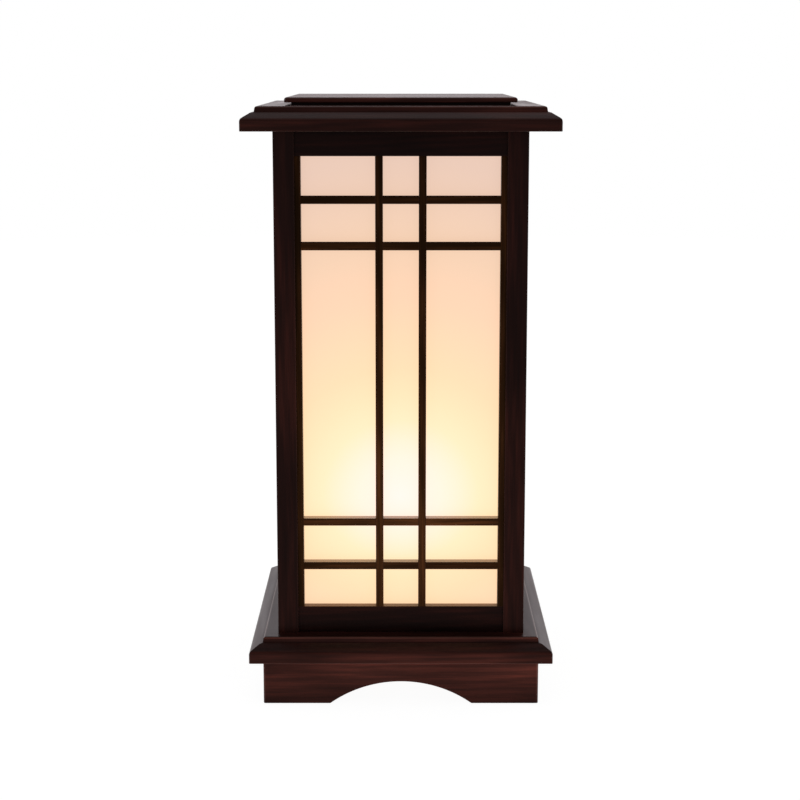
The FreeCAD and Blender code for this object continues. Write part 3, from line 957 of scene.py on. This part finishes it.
def frosted_plastic():
    """Plastic with the bulb's light painted on it as a glow, and dull outside. GLOW has a
    brightness for each distance in millimetres."""
    material, tree = new_material("frosted_acrylic")
    place = point_on_lamp(tree)
    stops = [(distance * MM / GLOW_REACH, [part / GLOW_STRENGTH for part in colour])
             for distance, colour in GLOW]
    set_shader(tree, {
        "Emission Color": colour_ramp(tree, glow_distance(tree, place), stops),
        "Emission Strength": GLOW_STRENGTH,
        "Normal": relief(tree, noise(tree, place, FROST_SCALE), FROST_STRENGTH, FROST_DEPTH),
        "Base Color": (0.10, 0.09, 0.08, 1),
        "Roughness": 0.5,
    })
    return material


acrylic = frosted_plastic()
print("glow:", len(GLOW), "stops over", round(GLOW_REACH / MM), "mm")

# %% Panes
PANE_EASE = 0.2 * MM


def set_finish(piece, material):
    """One finish all over."""
    piece.data.materials.clear()
    piece.data.materials.append(material)
    for face in piece.data.polygons:
        face.material_index = 0


pane = add_board("pane", *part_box("pane_front"))
ease(pane, PANE_EASE, lambda start, end: False)
set_finish(pane, acrylic)
fit_all_round(pane, "frosted_pane", "pane")

# %% [markdown]
# ## Lid
#
# The lid is a thin board with a rounded upper edge on a smaller block, so that a shadow line
# shows under it. It lifts off to change the bulb, so its two pieces ride on a body of their own.

# %% Lid
LID_EDGE_RADIUS = 2.2 * MM
LID_CORNER_RADIUS = 2.5 * MM
LID_EASE = 0.4 * MM
# Painted light on the lid, lighter towards its top, and painted shade on the block under it.
LID_PAINTED_LIGHT = (1.5, 1.9)
LID_BLOCK_PAINTED_SHADE = (0.4, 0.4)


def fit_on_lid(piece, stain, node):
    """Finishes a piece that lifts with the lid."""
    smooth(piece)
    lay_grain(piece, "X", stain)
    fit(piece, "lid", node)


lid_low, lid_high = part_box("lid_board")
lid = add_board("lid_top", lid_low, lid_high)
round_edges(lid, lambda start, end: not level(start, end), LID_CORNER_RADIUS, segments=4)
round_edges(lid, lambda start, end: min(start.z, end.z) > lid_high.z - NEAR, LID_EDGE_RADIUS,
            segments=6)
round_edges(lid, lambda start, end: max(start.z, end.z) < lid_low.z + NEAR, LID_EASE, segments=2)
fit_on_lid(lid, LID_PAINTED_LIGHT, "lid_board")

lid_block = add_board("lid_underboard", *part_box("lid_block"))
ease(lid_block, LID_EASE, level)
fit_on_lid(lid_block, LID_BLOCK_PAINTED_SHADE, "lid_block")
print("lid:", round((lid_high.x - lid_low.x) / MM, 1), "mm square")

# %% [markdown]
# ## Finishes inside the case
#
# The parts inside show when the lid is off. They are plain shop materials: dark moulded plastic,
# porcelain, rubber, and metals whose roughness varies a little, because even new metal has been
# handled. Only the numbers differ, so they are rows of one table.

# %% Plain finishes
RELIEF_STRENGTH = 0.3
FINER_RELIEF = 12
# Each row: two close colours, the roughness from and to, patches in a metre, relief, metallic.
PLAIN_FINISHES = {
    "black_phenolic": ((0.014, 0.012, 0.011), (0.024, 0.021, 0.019), (0.22, 0.34), 120, 0.03, 0),
    "zinc_steel": ((0.50, 0.50, 0.48), (0.60, 0.60, 0.57), (0.28, 0.42), 160, 0.02, 1),
    "brass": ((0.66, 0.46, 0.19), (0.76, 0.57, 0.28), (0.22, 0.36), 160, 0.02, 1),
    "white_porcelain": ((0.78, 0.77, 0.73), (0.82, 0.81, 0.77), (0.12, 0.20), 60, 0.03, 0),
    "rubber": ((0.017, 0.017, 0.017), (0.026, 0.025, 0.024), (0.55, 0.70), 200, 0.06, 0),
    "nickelled_cap": ((0.58, 0.56, 0.52), (0.66, 0.64, 0.60), (0.18, 0.30), 150, 0.02, 1),
}


def plain_finish(name, first, second, roughness, scale, depth, metallic):
    """Two close colours in soft patches, with a roughness that varies and fine relief."""
    material, tree = new_material(name)
    place = point_on_lamp(tree)
    patches = noise(tree, place, scale, 3)
    fine = noise(tree, place, FINER_RELIEF * scale)
    set_shader(tree, {
        "Base Color": colour_ramp(tree, patches, list(zip(MIDDLE_NOISE, (first, second)))),
        "Roughness": change_range(tree, patches, MOST_NOISE, roughness),
        "Normal": relief(tree, fine, RELIEF_STRENGTH, depth * MM),
        "Metallic": metallic,
    })
    return material


plain = {name: plain_finish(name, *look) for name, look in PLAIN_FINISHES.items()}
print("plain finishes:", len(plain))

# %% [markdown]
# The hidden wood is left pale. Its pieces stay as they are in the frame, so they can't carry a
# grain attribute, and the coordinates are turned instead. For a frame that runs round the case
# the grain follows the smaller of |x| and |y|, so one finish serves all four sides of it.

# %% Pale wood
PALE_STREAKS = (8, 150, 150)
PALE_PORE_STRENGTH = 0.5
PALE_PORE_DEPTH = 0.3 * MM
PALE_ROUGHNESS = 0.62


def lay_along_x(tree, place):
    """Grain coordinates for a board that lies along X."""
    return place


def lay_upright(tree, place):
    """Grain coordinates for pieces that stand upright."""
    x, y, z = parts_of(tree, place)
    return add_node(tree, "ShaderNodeCombineXYZ", {"X": z, "Y": x, "Z": y}).outputs["Vector"]


def lay_round_a_frame(tree, place):
    """Grain coordinates that run along each of the four boards of a square frame."""
    size = add_node(tree, "ShaderNodeVectorMath", {0: place}, operation="ABSOLUTE")
    x, y, z = parts_of(tree, size.outputs["Vector"])
    along = calculate(tree, "MINIMUM", x, y)
    across = calculate(tree, "MAXIMUM", x, y)
    return add_node(tree, "ShaderNodeCombineXYZ", {
        "X": along, "Y": across, "Z": z}).outputs["Vector"]


def pale_wood(name, lay):
    """Unlacquered wood, its grain laid by a function."""
    material, tree = new_material(name)
    laid = lay(tree, point_on_lamp(tree))
    set_shader(tree, {
        "Base Color": colour_ramp(tree, grain_noise(tree, laid, PALE_STREAKS, 4), [
            (0.30, (0.24, 0.13, 0.065)),
            (0.50, (0.34, 0.20, 0.105)),
            (0.72, (0.45, 0.29, 0.165)),
        ]),
        "Normal": relief(tree, grain_noise(tree, laid, PORES, 2), PALE_PORE_STRENGTH,
                         PALE_PORE_DEPTH),
        "Roughness": PALE_ROUGHNESS,
    })
    return material


pale_board = pale_wood("pale_board", lay_along_x)
pale_frame = pale_wood("pale_frame", lay_round_a_frame)
pale_upright = pale_wood("pale_upright", lay_upright)
print("pale wood:", pale_board.name, pale_frame.name, pale_upright.name)

# %% [markdown]
# ## Parts of the frame that stay
#
# Beads, blocks, dowels, the porcelain core and the bush are right as they are in the frame, so
# they only get their finishes.

# %% Finish the parts that stay
KEPT_PARTS = {
    pale_upright: ["plinth_corner_blocks", "upright_beads", "cap_dowels"],
    pale_board: ["floor_board"],
    pale_frame: ["level_beads", "lid_cleats"],
    plain["zinc_steel"]: ["holder_flange"],
    plain["rubber"]: ["lead_bush"],
    plain["white_porcelain"]: ["holder_core"],
    plain["brass"]: ["holder_tongue"],
}

for finish, names in KEPT_PARTS.items():
    for name in names:
        for slot in bpy.data.objects[name].material_slots:
            slot.material = finish
print("parts that stay:", sum(len(names) for names in KEPT_PARTS.values()))

# %% [markdown]
# ## Round parts
#
# The holder and the bulb are turned shapes. A lathe's work is easy to copy: start with a circle,
# and for each step of the outline extrude it and scale the new ring. Threads are a wave on a
# straight tube, drawn round it so that it climbs by one pitch in each turn. It fades out at both
# ends, as a rolled thread does.

# %% Turn and close
TURN_SIDES = 72


def draw_out(radius, height, outline):
    """Extrudes the picked ring to each radius and height of an outline."""
    for next_radius, next_height in outline:
        bpy.ops.mesh.extrude_edges_move(
            TRANSFORM_OT_translate={"value": (0, 0, next_height - height)})
        share = next_radius / radius
        bpy.ops.transform.resize(value=(share, share, 1), center_override=(0, 0, next_height))
        radius, height = next_radius, next_height
    bpy.ops.object.mode_set(mode="OBJECT")


def turn(name, outline):
    """A circle at the outline's first point, drawn out along the rest of it."""
    clear_selection()
    radius, height = outline[0]
    bpy.ops.mesh.primitive_circle_add(vertices=TURN_SIDES, radius=radius, location=(0, 0, height))
    piece = bpy.context.object
    piece.name = name
    bpy.ops.object.transform_apply(location=True, rotation=True, scale=True)
    bpy.ops.object.mode_set(mode="EDIT")
    bpy.ops.mesh.select_all(action="SELECT")
    draw_out(radius, height, outline[1:])
    return piece


def face_outwards():
    """Turns all faces outwards."""
    bpy.ops.mesh.select_all(action="SELECT")
    bpy.ops.mesh.normals_make_consistent(inside=False)
    bpy.ops.object.mode_set(mode="OBJECT")


def close_ends(piece):
    """Fills the open rings at both ends."""
    edit(piece, "EDGE")
    bpy.ops.mesh.select_non_manifold()
    bpy.ops.mesh.edge_face_add()
    face_outwards()


def close_wall(piece):
    """Joins the first and the last ring of an outline that ends where it began."""
    edit(piece, "VERT")
    bpy.ops.mesh.select_all(action="SELECT")
    bpy.ops.mesh.remove_doubles(threshold=NEAR)
    face_outwards()


# %% Threads and outlines
FULL_TURN = 2 * math.pi


def thread_wave(piece, low, high, pitch, depth, reach):
    """Presses a climbing wave into a tube, where it is wider than a radius."""
    for vertex in piece.data.vertices:
        point = vertex.co
        radius = math.hypot(point.x, point.y)
        if low < point.z < high and radius > reach:
            turned = math.atan2(point.y, point.x) / FULL_TURN
            fade = min(1, (point.z - low) / pitch, (high - point.z) / pitch)
            wave = depth * fade * (math.cos(FULL_TURN * (point.z / pitch - turned)) - 1) / 2
            point.x *= (radius + wave) / radius
            point.y *= (radius + wave) / radius


def outline_from(start, *points):
    """Points of an outline, as radius and height in millimetres, counted up from a start."""
    return [(radius * MM, start + height * MM) for radius, height in points]


def tube(radius, heights):
    """Points of an outline at one radius."""
    return [(radius, height) for height in heights]


# %% [markdown]
# ## Bulb
#
# A round opal bulb stands on a screw cap. Opal glass spreads the light inside it, so it is
# brightest round its middle and dims down the neck. The envelope is a sphere primitive: its lower
# part is cut off where the neck begins, and the open ring is extruded down and narrowed.

# %% Opal glass
BULB_CENTRE = 148.5 * MM
BULB_GLOW = 1.6
CLOUD_SCALE = 90
GLASS_ROUGHNESS = (0.06, 0.16)

glass_low, glass_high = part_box("bulb_glass")


def opal_glass():
    """Opal glass lit from inside."""
    material, tree = new_material("bulb_glass")
    place = point_on_lamp(tree)
    height = parts_of(tree, place)["Z"]
    share = change_range(tree, height, (glass_low.z, BULB_CENTRE), (0, 1))
    clouds = noise(tree, place, CLOUD_SCALE)
    set_shader(tree, {
        "Base Color": (0.90, 0.86, 0.78, 1),
        "Roughness": change_range(tree, clouds, (0, 1), GLASS_ROUGHNESS),
        "Emission Strength": BULB_GLOW,
        "Emission Color": colour_ramp(tree, share, [
            (0.0, (0.30, 0.16, 0.07)),
            (0.35, (0.62, 0.42, 0.24)),
            (0.8, (1.0, 0.80, 0.55)),
        ]),
    })
    return material


# %% Bulb envelope
BULB_RADIUS = 30 * MM
BULB_RINGS = 48
NECK_RADIUS = 13.6 * MM
NECK_BEND = 103.3 * MM
NECK_EASE = 2 * MM

drop = BULB_CENTRE - NECK_BEND
cone_angle = math.atan2(NECK_RADIUS, drop) + math.acos(BULB_RADIUS / math.hypot(NECK_RADIUS, drop))
cone_height = BULB_CENTRE - BULB_RADIUS * math.cos(cone_angle)
cone_radius = BULB_RADIUS * math.sin(cone_angle)

clear_selection()
bpy.ops.mesh.primitive_uv_sphere_add(segments=TURN_SIDES, ring_count=BULB_RINGS,
                                     radius=BULB_RADIUS, location=(0, 0, BULB_CENTRE))
envelope = bpy.context.object
envelope.name = "bulb_envelope"
bpy.ops.object.transform_apply(location=True, rotation=True, scale=True)
score(envelope, (0, 0, cone_height), (0, 0, 1), clear_inner=True)
edit(envelope, "EDGE")
bpy.ops.mesh.select_non_manifold()
draw_out(cone_radius, cone_height, [(NECK_RADIUS, NECK_BEND), (NECK_RADIUS, glass_low.z)])
close_ends(envelope)
round_edges(envelope, lambda start, end: abs(start.z - NECK_BEND) + abs(end.z - NECK_BEND) < NEAR,
            NECK_EASE, segments=6)
set_finish(envelope, opal_glass())
smooth(envelope)
fit(envelope, "bulb", "bulb_glass")
print("bulb:", round((glass_high.z - glass_low.z) / MM, 1), "mm of glass,",
      len(envelope.data.polygons), "faces")

# %% [markdown]
# The cap is turned and threaded. It ends in a dark insulating ring and a flat contact. It is one
# piece, and the ring is only a second finish on the cone of faces above the contact.

# %% Screw cap
THREAD_RADIUS = 13.2 * MM
THREAD_DEPTH = 1.0 * MM
THREAD_PITCH = 3.6 * MM
THREAD_START = 6.4 * MM
THREAD_LENGTH = 18 * MM
THREAD_ROWS = 60
CONE_RADIUS = 10.5 * MM

cap_low, cap_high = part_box("bulb_cap")
thread_low = cap_low.z + THREAD_START
thread_high = thread_low + THREAD_LENGTH


def rows(low, high):
    """Evenly spaced heights for the rings of a thread, from low to high."""
    return [low + (high - low) * step / THREAD_ROWS for step in range(THREAD_ROWS + 1)]


screw_cap = turn("screw_cap", (
    outline_from(cap_low.z, (3.5, 0), (4.5, 0.4), (4.5, 1.4))
    + outline_from(thread_low, (10.5, -0.4), (12.3, 0), (13.2, 0.6))
    + tube(THREAD_RADIUS, rows(thread_low + 0.9 * MM, thread_high))
    + outline_from(thread_high, (13.3, 0.3), (13.6, 0.8))
    + outline_from(cap_high.z, (13.6, -0.3), (13.3, 0))))
close_ends(screw_cap)
thread_wave(screw_cap, thread_low, thread_high, THREAD_PITCH, THREAD_DEPTH, CONE_RADIUS)
set_finish(screw_cap, plain["nickelled_cap"])
screw_cap.data.materials.append(plain["black_phenolic"])
for face in screw_cap.data.polygons:
    middle = math.hypot(face.center.x, face.center.y)
    if cap_low.z + MM < face.center.z < thread_low - 0.1 * MM and middle < CONE_RADIUS:
        face.material_index = 1
smooth(screw_cap)
fit(screw_cap, "bulb", "bulb_cap")
print("screw cap:", round(THREAD_PITCH / MM, 1), "mm pitch,", len(screw_cap.data.polygons),
      "faces")

# %% [markdown]
# ## Holder
#
# The holder is a dark moulded cup with a skirt screwed onto it, round a threaded metal sleeve.
# Both are turned as closed walls, outside and inside in one outline, because the inside shows
# when the bulb is out.

# %% Holder cup and skirt
cup_low, cup_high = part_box("holder_cup")
core_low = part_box("holder_core")[0]
cup = turn("holder_cup_turned", (
    outline_from(cup_low.z, (5, 0), (11, 0), (15, 3.8), (18.2, 7), (19.6, 9.6), (20, 12.5))
    + outline_from(cup_high.z, (20, -0.3), (19.7, 0), (17.4, 0))
    + outline_from(core_low.z, (17.4, 0), (5, 0))
    + outline_from(cup_low.z, (5, 0))))
close_wall(cup)

SKIRT_MOUTH = 17.6 * MM
SKIRT_FOOT = 20 * MM
BAND_START = 5 * MM
BAND_END = 21 * MM

skirt_low, skirt_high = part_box("holder_skirt")
band_low = skirt_low.z + BAND_START
band_high = skirt_low.z + BAND_END


def on_skirt(height):
    """A point of the outline. The skirt narrows evenly from the cup to its mouth."""
    share = (height - skirt_low.z) / (skirt_high.z - skirt_low.z)
    return SKIRT_FOOT + share * (SKIRT_MOUTH - SKIRT_FOOT), height


skirt = turn("holder_skirt_turned", (
    outline_from(skirt_low.z, (17.6, 0), (19.7, 0))
    + [on_skirt(height) for height in (skirt_low.z + 0.3 * MM, band_low, band_high,
                                       skirt_high.z - MM)]
    + outline_from(skirt_high.z, (17.25, -0.3), (16.6, 0), (15.5, 0), (15.2, -0.3))
    + outline_from(skirt_low.z, (17.6, 0))))
close_wall(skirt)
print("holder:", len(cup.data.polygons), "faces in the cup,", len(skirt.data.polygons),
      "in the skirt")

# %% [markdown]
# Fingers need a grip to unscrew the skirt, so it has a band of shallow flutes: pairs of its side
# faces are inset and pushed in.

# %% Flutes of the skirt
FLUTE_INSET = 0.4 * MM
FLUTE_DEPTH = 0.5 * MM
FLUTE_EVERY = 4


def in_flute(middle, way):
    """True for two side faces in every four, on the band."""
    side = math.floor((math.atan2(middle.y, middle.x) / FULL_TURN + 1) * TURN_SIDES)
    outward = way.x * middle.x + way.y * middle.y > 0
    return outward and band_low < middle.z < band_high and side % FLUTE_EVERY < 2


pick_faces(skirt, in_flute)
bpy.ops.mesh.inset(thickness=FLUTE_INSET, depth=-FLUTE_DEPTH)
bpy.ops.object.mode_set(mode="OBJECT")
for piece, node in ((cup, "holder_cup"), (skirt, "holder_skirt")):
    set_finish(piece, plain["black_phenolic"])
    smooth(piece)
    fit(piece, "case", node)
print("fluted skirt:", len(skirt.data.polygons), "faces")

# %% [markdown]
# The sleeve stands on the porcelain core and takes the bulb's thread, so it is a thin wall that
# waves outside and inside alike. Its mouth is turned out, because a rim stiffens thin metal.

# %% Threaded sleeve
SLEEVE_BORE = 13.5 * MM
SLEEVE_WALL = 0.6 * MM
SLEEVE_THREAD_DEPTH = 0.5 * MM

sleeve_low, sleeve_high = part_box("holder_shell")
outside = SLEEVE_BORE + SLEEVE_WALL
mouth_radius = sleeve_high.x
threaded = rows(sleeve_low.z + MM, sleeve_high.z - 2 * MM)
sleeve = turn("holder_sleeve", (
    [(SLEEVE_BORE, sleeve_low.z), (outside, sleeve_low.z)]
    + tube(outside, threaded)
    + [(outside, sleeve_high.z - SLEEVE_WALL), (mouth_radius, sleeve_high.z - SLEEVE_WALL),
       (mouth_radius, sleeve_high.z)]
    + outline_from(sleeve_high.z, (13.7, 0), (13.5, -0.2))
    + tube(SLEEVE_BORE, reversed(threaded))
    + [(SLEEVE_BORE, sleeve_low.z)]))
close_wall(sleeve)
thread_wave(sleeve, threaded[0], threaded[-1], THREAD_PITCH, -SLEEVE_THREAD_DEPTH, 0)
set_finish(sleeve, plain["brass"])
smooth(sleeve)
fit(sleeve, "case", "holder_shell")
print("sleeve:", len(sleeve.data.polygons), "faces")

# %% [markdown]
# ## Screws
#
# Each kind of screw is turned once, and a cross is cut in its head. The frame says where the
# screws are: every separate solid of its part has a box, and a copy goes to each box, its cross
# turned a little further each time, as hand-driven screws are. Their threads are hidden in the
# wood.

# %% Where the screws are
def boxes_of_solids(name):
    """The low and the high corner of each separate solid of a part of the frame."""
    mesh = bmesh.new()
    mesh.from_mesh(bpy.data.objects[name].data)
    mesh.transform(bpy.data.objects[name].matrix_world)
    bmesh.ops.remove_doubles(mesh, verts=mesh.verts, dist=NEAR)
    boxes, seen = [], set()
    for first in mesh.verts:
        if first in seen:
            continue
        solid = [first]
        seen.add(first)
        for vertex in solid:
            for edge in vertex.link_edges:
                other = edge.other_vert(vertex)
                if other not in seen:
                    seen.add(other)
                    solid.append(other)
        boxes.append([Vector([pick(vertex.co[axis] for vertex in solid) for axis in range(3)])
                      for pick in (min, max)])
    mesh.free()
    return boxes


# %% Screws
CROSS_WIDTH = 0.22
CROSS_LENGTH = 0.62
CROSS_TURN = 1.9
HEAD_EDGE = 0.15
POINT_RADIUS = 0.3


def add_screws(name, node, points, head_radius, cross_depth, up):
    """Turned screws with a cross in the head, one in each box, head down if they point up. The
    outline runs from the head to the point, in millimetres."""
    pattern = turn("screw", outline_from(0, *points))
    close_ends(pattern)
    arm = CROSS_LENGTH * head_radius * MM
    half = CROSS_WIDTH * head_radius * MM
    depth = cross_depth * MM
    for x, y in ((arm, half), (half, arm)):
        notch(pattern, (-x, -y, -depth), (x, y, depth))
    set_finish(pattern, plain["zinc_steel"])
    screws = []
    for low, high in boxes_of_solids(node):
        head = ((low.x + high.x) / 2, (low.y + high.y) / 2, low.z if up else high.z)
        screws.append(placed_copy(pattern, head, CROSS_TURN * len(screws)))
    bpy.data.objects.remove(pattern)
    piece = join_pieces(screws, name)
    smooth(piece)
    fit(piece, "case", node)
    print(name + ":", len(screws))


def countersunk(radius, head_radius, head_height, length):
    """The outline of a countersunk screw, from its head up to its point."""
    return [(head_radius - HEAD_EDGE, 0), (head_radius, HEAD_EDGE), (radius, head_height),
            (radius, length - 2 * radius), (POINT_RADIUS, length)]


add_screws("countersunk_frame_screws", "frame_screws", countersunk(2.0, 3.9, 2.4, 35),
           head_radius=3.9, cross_depth=1.4, up=True)
add_screws("countersunk_board_screws", "board_screws", countersunk(1.5, 2.8, 1.6, 16),
           head_radius=2.8, cross_depth=1.0, up=True)
add_screws("flat_headed_holder_screws", "holder_screws",
           [(2.2, 0), (2.6, -0.4), (2.6, -1.5), (1.4, -1.5), (1.4, -6), (0.3, -7.5)],
           head_radius=2.6, cross_depth=0.9, up=False)

# %% [markdown]
# ## Table
#
# The studio is a white table in a white room. The table glows softly, like a light table, so that
# much of the light on the lamp comes from below: in the photograph the plinth and the undersides
# of the mouldings are lighter than the slopes above them. To the camera the table is plain white,
# and only near the lamp does some of its real colour show, with a soft shadow.

# %% Table
TABLE_RADIUS = 4
TABLE_SIDES = 96
TABLE_GLOW = 0.55
WHITE_TO_CAMERA = 0.86
WHITE_STRENGTH = 1.02
SHADOW_REACH = (0.35, 0.9)


def table_material():
    """A white table that looks white to the camera and still takes a soft shadow near the lamp."""
    material, tree = new_material("studio_table")
    set_shader(tree, {
        "Base Color": (0.8, 0.8, 0.8, 1),
        "Roughness": 0.9,
        "Emission Color": (1, 1, 1, 1),
        "Emission Strength": TABLE_GLOW,
    })
    away = add_node(tree, "ShaderNodeVectorMath", {0: point_on_lamp(tree)}, operation="LENGTH")
    far = change_range(tree, away.outputs["Value"], SHADOW_REACH, (WHITE_TO_CAMERA, 1))
    rays = add_node(tree, "ShaderNodeLightPath", {}).outputs
    white = add_node(tree, "ShaderNodeEmission", {
        "Color": (1, 1, 1, 1), "Strength": WHITE_STRENGTH})
    mixed = add_node(tree, "ShaderNodeMixShader", {
        "Fac": calculate(tree, "MULTIPLY", rays["Is Camera Ray"], far),
        1: tree.nodes["Principled BSDF"].outputs["BSDF"],
        2: white.outputs["Emission"],
    })
    set_inputs(tree, tree.nodes["Material Output"], {"Surface": mixed.outputs["Shader"]})
    return material


clear_selection()
bpy.ops.mesh.primitive_circle_add(vertices=TABLE_SIDES, radius=TABLE_RADIUS, fill_type="NGON")
table = bpy.context.object
table.name = "studio_table"
table.data.materials.append(table_material())
print("table:", table.dimensions.x, "m across")

# %% [markdown]
# ## Room and light
#
# The room is white to the camera and in low reflections, and its ceiling is dimmer, because a
# bright ceiling would grey the tops of the dark mouldings. As a light the room is dimmer still.
# One wide lamp hangs overhead.

# %% Room
ROOM_LIGHT = 0.5
CEILING_HEIGHTS = (0.3, 0.55)
CEILING_SHARE = 0.2
MIRROR_TINT = (0, -0.08, -0.05)


def light_room():
    """White to the camera and in low reflections, dimmer overhead and dimmer still as a light."""
    world = bpy.data.worlds.new("room")
    bpy.context.scene.world = world
    world.use_nodes = True
    tree = world.node_tree
    rays = add_node(tree, "ShaderNodeLightPath", {}).outputs
    way = add_node(tree, "ShaderNodeTexCoord", {}).outputs["Generated"]
    ceiling = change_range(tree, parts_of(tree, way)["Z"], CEILING_HEIGHTS, (1, CEILING_SHARE))
    mirrored = calculate(tree, "MAXIMUM", rays["Is Glossy Ray"], rays["Is Transmission Ray"])
    mirror = calculate(tree, "MULTIPLY", mirrored, ceiling)
    white = calculate(tree, "MAXIMUM", rays["Is Camera Ray"], mirror)
    tint = add_node(tree, "ShaderNodeVectorMath", {0: mirrored, 1: MIRROR_TINT, 2: (1, 1, 1)},
                    operation="MULTIPLY_ADD")
    set_inputs(tree, tree.nodes["Background"], {
        "Strength": calculate(tree, "MAXIMUM", white, ROOM_LIGHT),
        "Color": tint.outputs["Vector"],
    })
    print("room:", world.name, "with", len(tree.nodes), "nodes")


light_room()

# %% Overhead lamp
LAMP_PLACE = Vector((0, -0.3, 1.9))
LAMP_TARGET = Vector((0, 0, 0.2))
LAMP_SIZE = 1.2
LAMP_POWER = 3.4

clear_selection()
bpy.ops.object.light_add(type="AREA", location=LAMP_PLACE)
overhead = bpy.context.object
overhead.name = "overhead"
overhead.data.size = LAMP_SIZE
overhead.data.energy = LAMP_POWER
overhead.rotation_euler = (LAMP_TARGET - LAMP_PLACE).to_track_quat("-Z", "Y").to_euler()
bpy.context.scene.view_settings.view_transform = "Standard"
print("light:", overhead.name, overhead.data.energy, "W")

# %% [markdown]
# ## Finish

# The dressed lamp has to stay in the frame's box.

# %% Finish
clear_selection()
